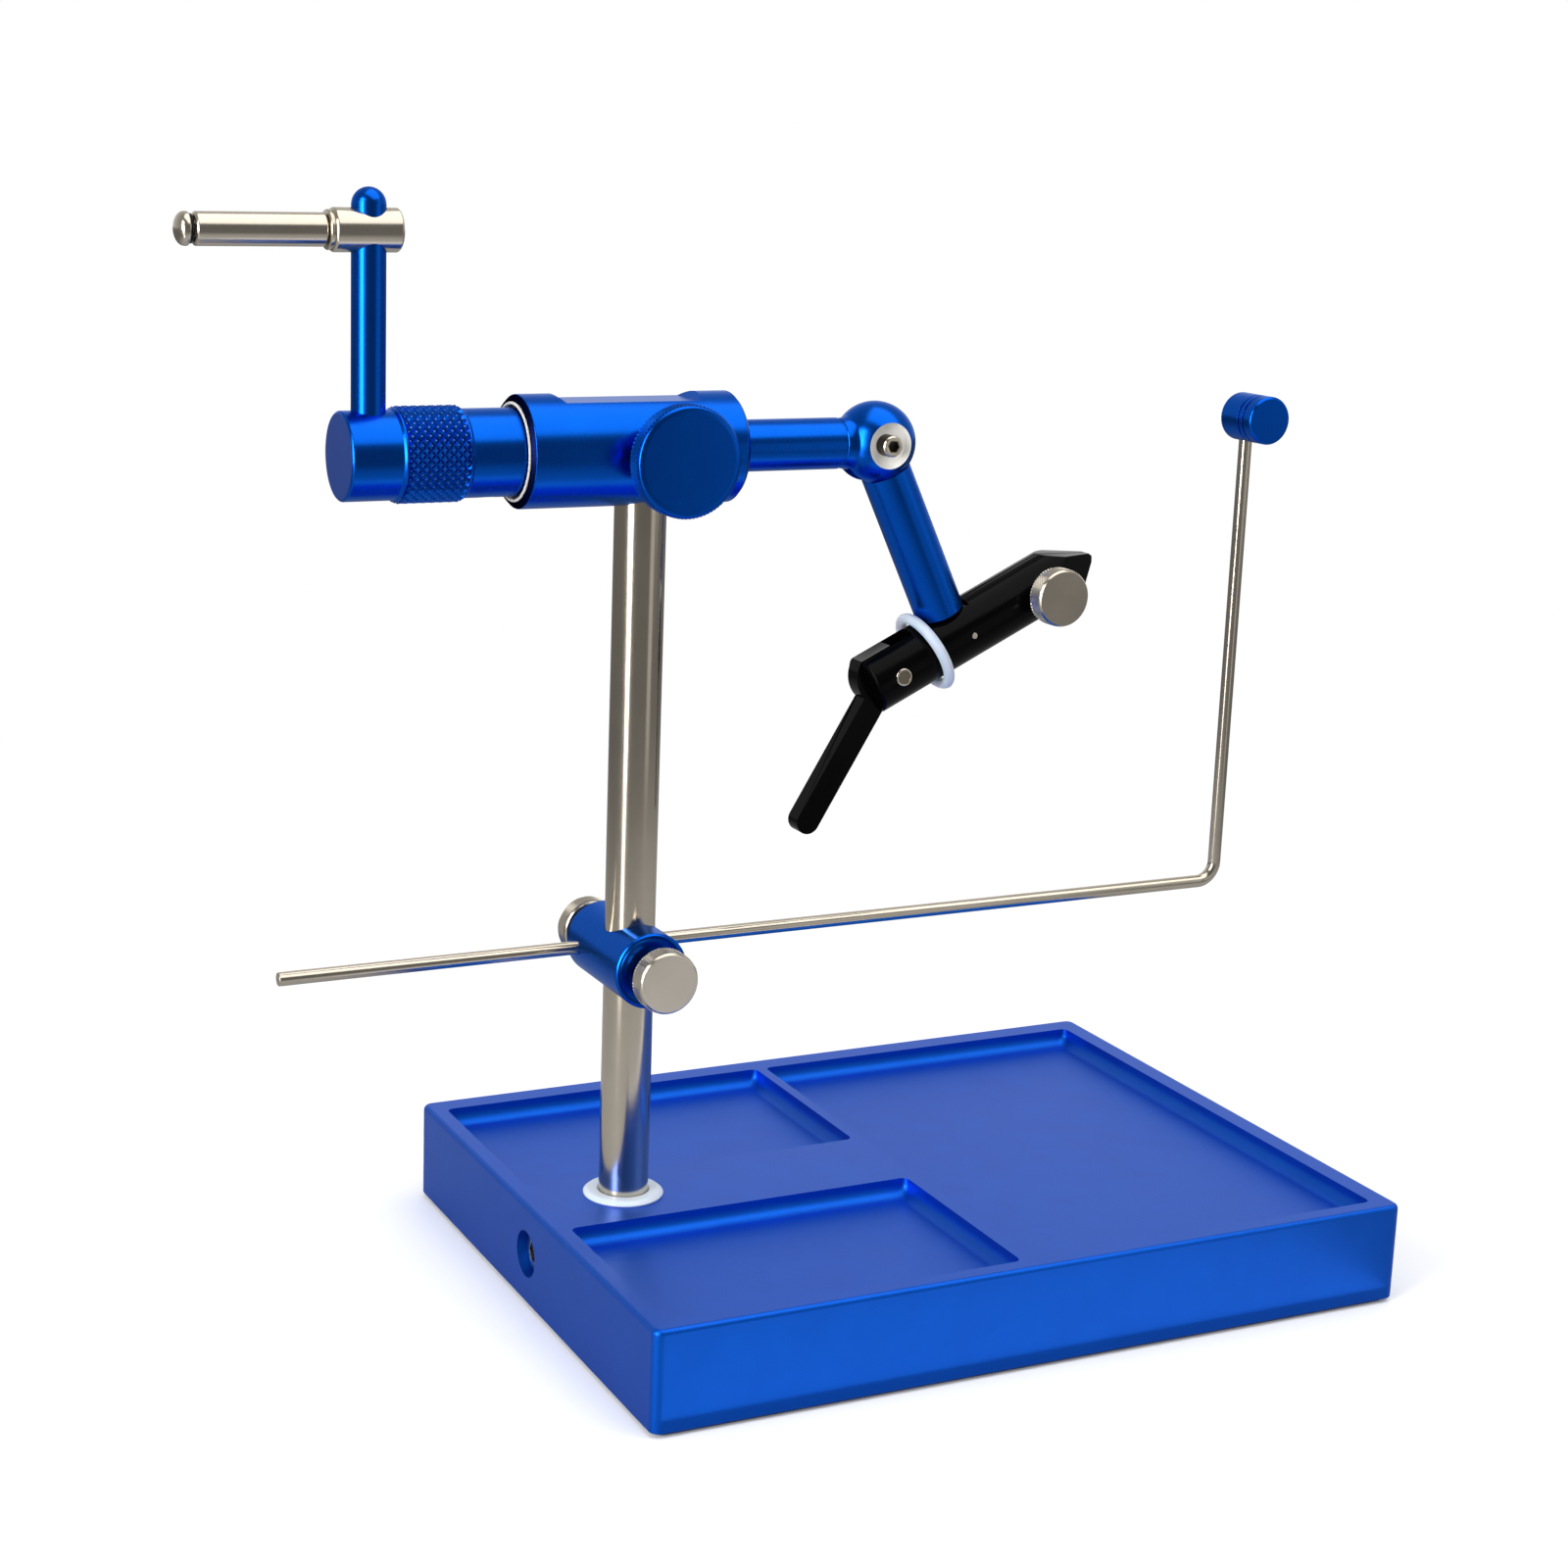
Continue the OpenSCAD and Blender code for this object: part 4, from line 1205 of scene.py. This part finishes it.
@dataclass
class Knuckle:
    """The spindle with its slotted ball, the pivot screw and the arm that tilts on it."""

    shaft: float = 4.75
    shaft_rear: float = -35.0
    inner_shaft: float = 4.0
    shoulder: float = 16.1
    neck: float = 4.3
    ball: float = 7.7
    slot: float = 4.0
    pocket: float = 6.2
    tongue: float = 5.9
    spot: float = 6.2
    recess: float = 4.3
    recess_floor: float = 4.5
    screw_end: float = 7.5
    nut_width: float = 7.0
    nut_height: float = 2.4
    tongue_half: float = 1.95
    centre: float = 47.4
    arm_end: float = 36.7

    def spindle(self) -> None:
        """Builds the shaft, its neck and the ball, slotted, with its bare recess and nut's seat."""
        cx, ball, rear, inner = self.centre, self.ball, self.shaft_rear, self.inner_shaft
        groove = cx - 7.9
        neck = math.asin(self.neck / ball)
        outline = [
            (2.0, rear, 0.0), (inner - 0.4, rear, 0.1), (inner, rear + 0.5, 0.1), (inner, self.shoulder, 0.0),
            (self.shaft - 0.2, self.shoulder, 0.08), (self.shaft, self.shoulder + 0.2, 0.08),
            (self.shaft, groove - 0.25, 0.08), (4.45, groove - 0.1, 0.0),
            (4.45, groove + 0.15, 0.05), (4.62, groove + 0.3, 0.1),
            (4.7, cx - ball * math.cos(neck) - 0.55, 0.3),
        ]
        outline += ball_outline(ball, cx, neck + 0.12, math.pi - 0.06)
        piece = turned("spindle_shown", outline, Along.X, LARGE)
        reach, half = ball + 1, self.slot / 2
        slot = carve(
            drill(self.pocket, -half, half, Along.Y, (cx, 0, 0), MIDDLE),
            block("slot below", (cx - self.pocket, -half, -reach), (cx + reach, half, -0.013)),
            block("slot ahead", (cx + 0.3, -half, -1.0), (cx + reach, half, self.shaft + 0.3)),
            how="UNION",
        )
        carve(
            piece,
            slot,
            block("nut seat", (cx - reach, self.spot, -reach), (cx + reach, reach, reach)),
            drill(self.recess, -reach, -self.recess_floor, Along.Y, (cx, 0, 0), MIDDLE),
            drill(SCREW_HOLE, -reach, reach, Along.Y, (cx, 0, 0)),
        )
        ease_edges(piece, 0.14, 40.0)

        def bare(middle: Vector, normal: Vector) -> bool:
            """Tells the nut's seat and the inside of the recess from the other faces.

            Args:
                middle: The face's middle in mm.
                normal: Its normal.

            Returns:
                Whether the face is bare.
            """
            if middle.x < cx - 7:
                return False
            off = math.hypot(middle.x - cx, middle.z)
            bore = off < 2.2 and abs(normal.y) < 0.5
            inside = off < self.recess + 0.03 and -7.0 < middle.y < 0.1 - self.recess_floor
            rim = middle.y < -5.0 and normal.y < -0.2
            return inside and not bore and not rim or normal.y > 0.99 and middle.y > self.spot - 0.02

        numbered(piece, bare)
        finishes = [TURNED_BLUE.made(Grain.ROUND_X), MATT_ALUMINIUM.made(Grain.BLASTED)]
        dressed(piece, HEAD, "spindle", "blue_anodised", *finishes)

    def screw(self) -> None:
        """Builds the pivot screw with its socket."""
        face = -self.screw_end
        screw = turned("pivot_screw_shown", bar_outline(2.0, face, self.spot + 3.0, 0.3, 0.1), Along.Y, SMALL)
        carve(screw, drill(1.16, face - 1, face + 2, Along.Y, sides=HEXAGON))
        ease_edges(screw, 0.06)
        # The flank gets the painted shade steel: a painted dark reflection.
        numbered(screw, lambda middle, normal: abs(normal.y) < 0.3)
        dressed(screw, KNUCKLE, "spindle", "steel", TURNED_STEEL.made(Grain.ROUND_Y), PAINTED_SHADE_STEEL.made(Grain.ROUND_Y))

    def nut(self) -> None:
        """Builds the nut on the knuckle's back."""
        top = self.spot + self.nut_height
        nut = drill(self.nut_width / 2 / math.cos(math.pi / 6), self.spot, top, Along.Y, sides=HEXAGON)
        nut.name = "pivot_nut_shown"
        cone = turned("cone", bar_outline(4.0, self.spot, top, 0.35, 0.1), Along.Y, SMALL)
        carve(nut, cone, how="INTERSECT")
        carve(nut, drill(SCREW_HOLE, self.spot - 1, self.spot + 4, Along.Y))
        ease_edges(nut, 0.08)
        dressed(nut, KNUCKLE, "spindle", "steel", TURNED_STEEL.made(Grain.ROUND_Y))

    def arm(self) -> None:
        """Builds the jaw arm: a bar cupped round the ball, its tongue and its tenon."""
        r = self.shaft
        outline = bar_outline(r, -self.arm_end, -1.0, 0.25, 0.1)
        outline[3:3] = [(r, -11.5, 0.0), (r, -10.5, 0.0)]
        arm = turned("jaw_arm_shown", outline, Along.Z, LARGE)
        cup = turned("cup", ball_outline(self.ball + 0.1, 0.0, 0.03, math.pi - 0.03), Along.Z, LARGE)
        carve(arm, cup)
        half = self.tongue_half
        tongue = turned("tongue", bar_outline(self.tongue, -half, half, 0.1, 0.05), Along.Y)
        web = turned("web", bar_outline(r - 0.02, -9.7, -2.0, 0.0, 0.0), Along.Z, LARGE)
        for side in (-1, 1):
            slice_off(web, (0, side * half, 0), (0, side, 0))
        carve(arm, tongue, web, how="UNION")
        carve(arm, drill(2.05, -5, 5, Along.Y))
        tenon = drill(2.0, -self.arm_end - 3, -self.arm_end + 1, Along.Z, (0, TENON_Y, 0))
        carve(arm, tenon, how="UNION")
        carve(arm, drill(1.27, -44, -29, Along.Z, (0, TENON_Y, 0)))
        ease_edges(arm, 0.1, 50.0)
        dressed(arm, KNUCKLE, "arm", "blue_anodised", TURNED_BLUE.made(Grain.ROUND_Z))

    def build(self) -> None:
        """Builds every piece of the knuckle."""
        self.spindle()
        self.screw()
        self.nut()
        self.arm()


class Half(Enum):
    """The two halves of the jaws, by the side that each lies on."""

    FRONT = -1
    BACK = 1


@dataclass
class Jaws:
    """The split jaws, their adjusting knob, dowel, rubber ring, cam pin and lever."""

    radius: float = 5.9
    rear: float = 19.6
    tip: float = 33.9
    top_slope: float = 10.6
    under_slope: float = 7.6
    side_slope: float = 10.5
    nose_high: float = 0.5
    nose_wide: float = 1.2
    gap: float = 0.4
    cord: float = 2.1
    cord_play: float = 0.35
    ring_at: float = -5.7
    ring_lean: float = 86.0
    slot: float = 4.5
    slot_end: float = -7.8
    seat_half: float = 5.05
    adjust_at: float = 19.9
    adjust_bore: float = 1.7
    knob_radius: float = 5.6
    knob_back: float = 8.0
    knob_face: float = 12.0
    knob_neck: float = 3.0
    cam_at: float = -14.0
    dowel_at: float = 2.6
    cam_pin: float = 1.75
    cam_pin_reach: float = 5.78
    lever: float = 32.7
    lever_up: float = 0.7
    lever_width: float = 4.8
    lever_thick: float = 3.7
    cam_radius: float = 5.9
    cam_offset: tuple[float, float] = (-1.4, 1.7)
    cam_flat: float = 5.5

    def half(self, half: Half) -> None:
        """Builds one half: the barrel sloped to its nose, split, slotted and flattened for the arm.

        Args:
            half: Which half.
        """
        side, r, tip = half.value, self.radius, self.tip
        name = "jaw_back" if half is Half.BACK else "jaw_front"
        jaw = turned(f"{name}_shown", bar_outline(r, -self.rear, tip, 0.4, 0.12), Along.X, LARGE)
        slice_off(jaw, (tip - self.top_slope, 0, r), (r - self.nose_high, 0, self.top_slope))
        slice_off(jaw, (tip - self.under_slope, 0, -r), (r - self.nose_high, 0, -self.under_slope))
        slice_off(jaw, (tip - self.side_slope, side * r, 0), (r - self.nose_wide, side * self.side_slope, 0))
        slice_off(jaw, (0, side * self.gap / 2, 0), (0, -side, 0))
        # The tip is stoned round.
        slice_off(jaw, (tip - 0.3, 0, 0.45), (0.853, 0, 0.522))
        slice_off(jaw, (tip - 0.3, 0, -0.45), (0.889, 0, -0.459))
        seat = r - 0.5 if half is Half.BACK else r - 0.8
        carve(
            jaw,
            block("slot", (-self.rear - 1, -self.slot / 2, -8), (self.slot_end, self.slot / 2, 8)),
            block("seat", (-self.seat_half, -8, seat), (self.seat_half, 8, seat + 5)),
        )
        low, high = sorted((0.0, side * 8.0))
        # The pin sits tight in the back jaw; the front one moves a little round it.
        bore = self.cam_pin + (0.02 if half is Half.BACK else 0.12)
        carve(jaw, drill(bore, low, high, Along.Y, (self.cam_at, 0, 0), NARROW))
        carve(jaw, drill(self.adjust_bore, low, high, Along.Y, (self.adjust_at, 0, 0), NARROW))
        if half is Half.FRONT:
            carve(jaw, drill(0.82, -8, 0, Along.Y, (self.dowel_at, 0, 0), PIN))
            carve(jaw, drill(3.5, -8, -5.4, Along.Y, (self.adjust_at, 0, 0), NARROW))
        else:
            carve(jaw, drill(2.03, r - 3.6, 8, Along.Z, (0, TENON_Y, 0), NARROW))
            carve(jaw, drill(2.35, -8, -1.0, Along.Z, (0, TENON_Y, 0), NARROW))
        ease_edges(jaw, 0.18, 28.0)
        body = "arm" if half is Half.BACK else "front_jaw"
        dressed(jaw, JAWS, body, "black_steel", BLACK_STEEL.made(Grain.ROUND_X))

    def knob(self) -> None:
        """Builds the adjusting knob with its knurled rim and faced end."""
        r, back, face, neck = self.knob_radius, self.knob_back, self.knob_face, self.knob_neck
        outline = [
            (1.6, -5.5, 0.0), (neck - 0.1, -5.5, 0.1), (neck, -5.6, 0.1), (neck, -back, 0.15),
            (r - 0.5, -back, 0.1),
            (r - 0.2, -back - 0.35, 0.1), (r - 0.3, -back - 0.5, 0.0), (r - 0.3, -face + 0.55, 0.0),
            (r - 0.12, -face + 0.45, 0.05), (r - 0.45, -face, 0.1), (r * 0.3, -face, 0.0),
        ]
        knob = turned("adjusting_knob_shown", outline, Along.Y)
        joined(knob, knurled_band(r, -face + 0.5, -back - 0.4, 0.6, 0.2, Along.Y))
        centre = JAWS.moved(x=self.adjust_at)
        numbered(knob, lambda middle, normal: abs(middle.y + face) < 0.06)
        # Faced on the lathe: dull grey rings round the middle of the end.
        faced = Faced("faced_adjusting_knob", "A39B8E", 0.3, (centre.x, -face, centre.z))
        dressed(knob, centre, "adjuster", "steel", TURNED_STEEL.made(Grain.ROUND_Y), faced.made())

    def small_pins(self) -> None:
        """Builds the cam pin and the dowel, their ends rounded to the barrel."""
        steel = TURNED_STEEL.made(Grain.ROUND_Y)
        reach = self.cam_pin_reach
        pin = turned("cam_pin_shown", bar_outline(self.cam_pin, -reach, reach, 0.15, 0.08), Along.Y, NARROW)
        carve(pin, drill(1.35, -reach - 1, -reach + 0.15, Along.Y, sides=NARROW))
        ease_edges(pin, 0.05)
        # The floor of the pin's end recess is darker brown.
        numbered(pin, lambda middle, normal: 0.1 < middle.y + reach < 0.2 and abs(normal.y) > 0.9)
        dressed(pin, JAWS.moved(x=self.cam_at), "arm", "steel", steel, DARKER_RECESS_STEEL.made(Grain.ROUND_Y))
        dowel = turned("jaw_dowel_shown", bar_outline(0.7, -5.8, 4.4, 0.15, 0.06), Along.Y, PIN)
        dressed(dowel, JAWS.moved(x=self.dowel_at), "arm", "steel", steel)

    def ring(self) -> None:
        """Builds the rubber ring, a round cord lying loosely on the barrel."""
        minor = self.cord / 2
        major = self.radius + self.cord_play + minor
        ring = primitive(
            bpy.ops.mesh.primitive_torus_add,
            "jaw_ring_shown",
            major_radius=major * MM,
            minor_radius=minor * MM,
            major_segments=MIDDLE,
            minor_segments=24,
        )
        # The mould's parting line stands out a little round the middle.
        open_edit(ring)
        pick_edges(ring, lambda a, b: abs(a.z) < 0.01 and abs(b.z) < 0.01 and a.xy.length > major)
        bpy.ops.transform.resize(value=(1.006, 1.006, 1.0), center_override=(0.0, 0.0, 0.0))
        close_edit()
        settle(ring, Matrix.Rotation(math.radians(self.ring_lean), 4, "Y"))
        dressed(ring, JAWS.moved(x=self.ring_at), "arm", "clear_rubber", SILICONE.made())

    def cam_lever(self) -> None:
        """Builds the lever: a bar with a round end, and the round head set off the pin's centre."""
        half, thick = self.lever_width / 2, self.lever_thick / 2
        back, up = self.cam_offset
        low, high = self.lever_up - half, self.lever_up + half
        bar = block("cam_lever_shown", (-self.lever, -thick, low), (back, thick, high))
        head = drill(self.cam_radius, -thick, thick, Along.Y, (back, 0, up), LARGE)
        end = drill(half, -thick, thick, Along.Y, (-self.lever, 0, self.lever_up), SMALL)
        carve(bar, head, end, how="UNION")
        level = Matrix.Rotation(math.radians(JAWS.lean - CAM.lean), 3, "Y") @ Vector((0, 0, 1))
        slice_off(bar, tuple(level * self.cam_flat), tuple(level))
        carve(bar, drill(1.8, -4, 4, Along.Y, sides=NARROW))
        ease_edges(bar, 0.4, 30.0, 3)
        dressed(bar, CAM, "lever", "black_steel", BLACK_STEEL.made(Grain.ROUND_X))

    def build(self) -> None:
        """Builds every piece of the jaws."""
        for half in Half:
            self.half(half)
        self.knob()
        self.small_pins()
        self.ring()
        self.cam_lever()
        kept("adjusting_screw", TURNED_STEEL.made(Grain.ROUND_Y))
        kept("arm_screw", TURNED_STEEL.made(Grain.ROUND_Z))


@dataclass
class Cradle:
    """The block on the post, its two thumb screws, the bent rod and its head."""

    radius: float = 7.2
    front: float = -10.5
    back: float = 13.5
    rod_radius: float = 1.3
    rod_sides: int = 40
    rod_y: float = 8.0
    left: float = 65.6
    right: float = 137.5
    bend: float = 4.0
    rise: float = 97.1
    screw_radius: float = 5.95
    screw_neck: float = 3.9
    screw_head: float = 4.0
    head_radius: float = 4.8
    head_front: float = -7.7
    head_back: float = 2.6

    def clamp(self) -> None:
        """Builds the block with its dished front, the post's hole and the rod's hole."""
        r, front, back = self.radius, self.front, self.back
        outline = [
            (2.4, front + 1.1, 0.0), (4.4, front + 1.1, 0.5), (6.3, front + 0.1, 0.2),
            (r - 0.35, front, 0.12), (r, front + 0.4, 0.15), (r, back - 0.5, 0.15), (r - 0.5, back, 0.15),
            (2.4, back, 0.0),
        ]
        clamp = turned("cradle_block_shown", outline, Along.Y, LARGE)
        carve(
            clamp,
            drill(4.8, -10, 10, Along.Z),
            drill(self.rod_radius + 0.05, -10, 10, Along.X, (0, self.rod_y, 0), NARROW),
        )
        carve(clamp, drill(2.05, front - 1, 0, Along.Y, sides=NARROW))
        carve(clamp, drill(2.05, self.rod_y, back + 1, Along.Y, sides=NARROW))
        ease_edges(clamp, 0.2, 40.0)
        dressed(clamp, CRADLE, "cradle_clamp", "blue_anodised", TURNED_BLUE.made(Grain.ROUND_Y))

    def thumb_screw(self, name: str, body: str, face: float, tip: float, side: int) -> None:
        """Builds a thumb screw with a knurled head.

        Args:
            name: The CAD node's name.
            body: The CAD body.
            face: Distance from the post's axis to the block's face, in mm.
            tip: Distance to the screw's tip.
            side: -1 in front, 1 behind.
        """
        back, r = face + self.screw_neck, self.screw_radius
        end = back + self.screw_head
        outline = [
            (1.2, tip, 0.0), (1.7, tip, 0.1), (2.0, tip + 0.3, 0.1), (2.0, face + 0.3, 0.0),
            (3.3, face + 0.3, 0.1), (3.5, face + 0.5, 0.1), (3.5, back, 0.15), (r - 0.5, back, 0.1),
            (r - 0.2, back + 0.35, 0.1), (r - 0.3, back + 0.45, 0.0), (r - 0.3, end - 0.55, 0.0),
            (r - 0.15, end - 0.45, 0.05), (r - 0.5, end, 0.15), (r * 0.3, end, 0.0),
        ]
        screw = turned(f"{name}_shown", outline, Along.Y)
        joined(screw, knurled_band(r, back + 0.4, end - 0.5, 0.62, 0.2, Along.Y))
        if side < 0:
            settle(screw, Matrix.Rotation(math.pi, 4, "Z"))
        numbered(screw, lambda middle, normal: abs(middle.y - side * end) < 0.06)
        # Faced on the lathe: pale rings round the middle of the end.
        faced = Faced(f"faced_{name}", "E6DCCB", 0.34, (CRADLE.x, side * end, CRADLE.z))
        dressed(screw, CRADLE, body, "steel", TURNED_STEEL.made(Grain.ROUND_Y), faced.made())

    def rod(self) -> None:
        """Builds the rod: a level stretch, a tight bend and an upright, its two ends rounded over."""
        level = self.right - self.bend
        rod = primitive(
            bpy.ops.mesh.primitive_circle_add,
            "cradle_rod_shown",
            vertices=self.rod_sides,
            radius=self.rod_radius * MM,
            fill_type="NGON",
        )
        settle(rod, Matrix.Translation((-self.left * MM, 0.0, 0.0)) @ Along.X.turn())
        open_edit(rod, "FACE", "SELECT")
        along, up = (self.left + level) * MM, (self.rise + self.rod_radius - self.bend) * MM
        bpy.ops.mesh.extrude_region_move(TRANSFORM_OT_translate={"value": (along, 0.0, 0.0)})
        bpy.ops.mesh.spin(
            steps=14, angle=math.pi / 2, center=(level * MM, 0.0, self.bend * MM), axis=(0.0, 1.0, 0.0)
        )
        bpy.ops.mesh.extrude_region_move(TRANSFORM_OT_translate={"value": (0.0, 0.0, up)})
        bpy.ops.mesh.select_all(action="SELECT")
        bpy.ops.mesh.normals_make_consistent(inside=False)
        close_edit()
        ease_edges(rod, 0.28, 50.0, 3)
        place = CRADLE.moved(y=self.rod_y)
        dressed(rod, place, "cradle", "steel", GROUND_STEEL.made(Grain.BLASTED))

    def head(self) -> None:
        """Builds the cradle's head: a short blue cylinder with two grooves."""
        r, front, back = self.head_radius, self.head_front, self.head_back
        outline: list[Corner] = [(1.5, front, 0.0), (r - 0.4, front, 0.12), (r, front + 0.4, 0.12)]
        for groove in (front + 2.5, front + 4.0):
            outline += [
                (r, groove, 0.06), (r - 0.35, groove + 0.08, 0.04), (r - 0.35, groove + 0.42, 0.04),
                (r, groove + 0.5, 0.06),
            ]
        outline += [(r, back - 0.4, 0.12), (r - 0.4, back, 0.12), (1.5, back, 0.0)]
        head = turned("cradle_head_shown", outline, Along.Y)
        carve(head, drill(self.rod_radius + 0.02, -6, 1.4, Along.Z, sides=self.rod_sides))
        place = CRADLE.moved(x=self.right, y=self.rod_y, z=self.rise)
        dressed(head, place, "cradle", "blue_anodised", TURNED_BLUE.made(Grain.ROUND_Y))

    def build(self) -> None:
        """Builds every piece of the cradle."""
        self.clamp()
        self.thumb_screw("post_thumb_screw", "post_clamp_screw", -self.front, 4.85, -1)
        self.thumb_screw("rod_thumb_screw", "rod_clamp_screw", self.back, self.rod_y + self.rod_radius + 0.1, 1)
        self.rod()
        self.head()


@dataclass
class Studio:
    """The camera at the photograph's view, the pale floor, the lamps and the room that metal reflects."""

    eye: Point = (-261.8, -451.5, 221.9)
    ahead: Point = (0.41029, 0.88354, -0.22585)
    above: Point = (0.06933, 0.21671, 0.97377)
    focal: float = 2818.7
    middle: tuple[float, float] = (682.8, 763.9)
    frame_size: float = 1600.0
    sensor: float = 36.0
    # How bright the room is from behind the camera (0) to the backdrop ahead of it (1).
    room: tuple[tuple[float, float], ...] = (
        (0.0, 0.13),
        (1.0, 1.0),
        (0.2, 0.18),
        (0.5, 0.4),
        (0.8, 0.62),
        (0.93, 0.85),
    )
    sky: tuple[float, float, float, float] = (0.95, 0.97, 1.0, 1.0)
    sky_strength: float = 0.8
    # The floor lies a hair under the rubber; its radius and this drop are in metres.
    floor_radius: float = 6.0
    floor_drop: float = 0.00005
    paper: float = 0.8
    floor_in_metal: float = 0.17
    floor_glow: float = 0.05
    # Between these distances from its middle, in metres, the floor fades into the backdrop.
    fade: tuple[float, float] = (0.12, 0.5)
    # Each lamp's name, its place, what it points at, its two sides in metres and its power in watts.
    lamps: tuple[tuple[str, Point, Point, tuple[float, float], float], ...] = (
        ("overhead_softbox", (0.25, -0.3, 1.1), (0.1, -0.12, 0.1), (1.1, 1.35), 7.9),
        ("left_strip", (-0.98, -0.42, 0.3), (-0.05, 0.0, 0.1), (0.38, 1.2), 12.5),
        ("right_fill", (0.8, -0.62, 0.35), (0.0, 0.0, 0.1), (0.5, 0.9), 0.6),
        ("near_left_card", (-0.43, -0.2, 0.13), (-0.06, 0.0, 0.1), (0.11, 0.3), 0.42),
        ("low_left_card", (-0.266, -0.112, 0.003), (-0.178, -0.064, 1.0), (0.06, 0.33), 0.16),
        ("low_front_card", (0.0, -0.0848, 0.003), (0.0, -0.0848, 1.0), (0.155, 0.05), 0.013),
        ("near_right_card", (0.2, -0.37, 0.1), (-0.06, 0.0, 0.1), (0.14, 0.3), 0.05),
    )

    def camera(self) -> None:
        """Sets the camera where the photograph was taken."""
        data = bpy.data.cameras.new("camera")
        data.sensor_width = self.sensor
        data.lens = self.focal * self.sensor / self.frame_size
        data.shift_x = (self.frame_size / 2 - self.middle[0]) / self.frame_size
        data.shift_y = -(self.frame_size / 2 - self.middle[1]) / self.frame_size
        data.clip_start, data.clip_end = 0.01, 50.0
        camera = bpy.data.objects.new("camera", data)
        bpy.context.scene.collection.objects.link(camera)
        ahead, above = Vector(self.ahead).normalized(), Vector(self.above)
        right = ahead.cross(above).normalized()
        above = right.cross(ahead)
        turn = Matrix((right, above, -ahead)).transposed().to_4x4()
        camera.matrix_world = Matrix.Translation(Vector(self.eye) * MM) @ turn
        bpy.context.scene.camera = camera

    def light(self) -> None:
        """Adds the lamps, each turned to what it lights."""
        for name, place, aim, size, watts in self.lamps:
            data = bpy.data.lights.new(name, "AREA")
            data.shape = "RECTANGLE"
            data.size, data.size_y, data.energy = size[0], size[1], watts
            lamp = bpy.data.objects.new(name, data)
            bpy.context.scene.collection.objects.link(lamp)
            lamp.location = place
            lamp.rotation_euler = (Vector(aim) - Vector(place)).to_track_quat("-Z", "Y").to_euler()

    def world(self) -> None:
        """Makes the room: a white backdrop ahead of the lens, and a dimmer room behind it.

        The camera sees white all round. Metal sees the white backdrop where it is, and elsewhere the
        room, which is darkest behind the camera. The vise itself is lit by an even pale room.
        """
        world = bpy.data.worlds.new("studio")
        world.use_nodes = True
        tree = world.node_tree
        tree.nodes.clear()
        facing = {0: add_node(tree, "TexCoord").outputs["Generated"], 1: tuple(Vector(self.ahead).normalized())}
        away = add_node(tree, "VectorMath", facing, operation="DOT_PRODUCT")
        share = add_node(tree, "MapRange", {0: away.outputs["Value"], 1: -1.0, 2: 1.0})
        room = add_node(tree, "ValToRGB", {0: share})
        stops = room.color_ramp.elements
        for number, (spot, level) in enumerate(self.room):
            stop = stops[number] if number < 2 else stops.new(spot)
            stop.position, stop.color = spot, (level, level, level, 1.0)
        rays = add_node(tree, "LightPath")
        lit = add_node(tree, "Background", {"Color": self.sky, "Strength": self.sky_strength})
        shiny = add_node(tree, "Background", {"Color": room, "Strength": 1.0})
        white = add_node(tree, "Background", {"Color": WHITE, "Strength": 1.0})
        first = add_node(tree, "MixShader", {0: from_metal(tree, rays), 1: lit, 2: shiny})
        second = add_node(tree, "MixShader", {0: rays.outputs["Is Camera Ray"], 1: first, 2: white})
        add_node(tree, "OutputWorld", {"Surface": second})
        bpy.context.scene.world = world

    def floor(self) -> None:
        """Adds the pale floor, which shows white and keeps the vise's shadow."""
        floor = primitive(
            bpy.ops.mesh.primitive_circle_add,
            "floor",
            vertices=MIDDLE,
            radius=self.floor_radius,
            fill_type="NGON",
            location=(0, 0, -self.floor_drop),
        )
        # Pale paper: it gives the camera white and dims what metal mirrors of it.
        material, tree = new_material("pale_floor")
        rays = add_node(tree, "LightPath")
        place = add_node(tree, "TexCoord").outputs["Object"]
        reach = add_node(tree, "VectorMath", {0: place}, operation="LENGTH").outputs["Value"]
        # The paper curves up into the white backdrop, so the lamps' falloff on it fades out.
        near_end, far_end = self.fade
        far = add_node(tree, "MapRange", {0: reach, 1: near_end, 2: far_end}, interpolation_type="SMOOTHSTEP")
        metal = from_metal(tree, rays)
        dim = maths(tree, "MULTIPLY", metal, self.floor_in_metal)
        seen = maths(tree, "MAXIMUM", rays.outputs["Is Camera Ray"], dim)
        glow = maths(tree, "MULTIPLY", seen, self.floor_glow)
        tone = add_node(tree, "MapRange", {0: metal, 3: self.paper, 4: self.floor_in_metal * 2})
        matt = add_node(tree, "BsdfDiffuse", {"Color": tone})
        pale = add_node(tree, "Emission", {"Color": WHITE, "Strength": glow})
        near = add_node(tree, "AddShader", {0: matt, 1: pale})
        white = add_node(tree, "Emission", {"Color": WHITE, "Strength": seen})
        both = add_node(tree, "MixShader", {0: far, 1: near, 2: white})
        add_node(tree, "OutputMaterial", {"Surface": both})
        floor.data.materials.append(material)

    def build(self) -> None:
        """Builds the whole studio."""
        self.camera()
        self.light()
        self.world()
        self.floor()
        bpy.context.scene.view_settings.view_transform = "Standard"


def main() -> None:
    """Builds the vise and the studio."""
    logging.basicConfig(level=logging.INFO, format="%(name)s: %(message)s")
    for part in (Studio(), Base(), PostAndHead(), Crank(), Knuckle(), Jaws(), Cradle()):
        LOG.info("building %s", type(part).__name__)
        part.build()
    bpy.context.view_layer.update()


if __name__ == "__main__":
    main()
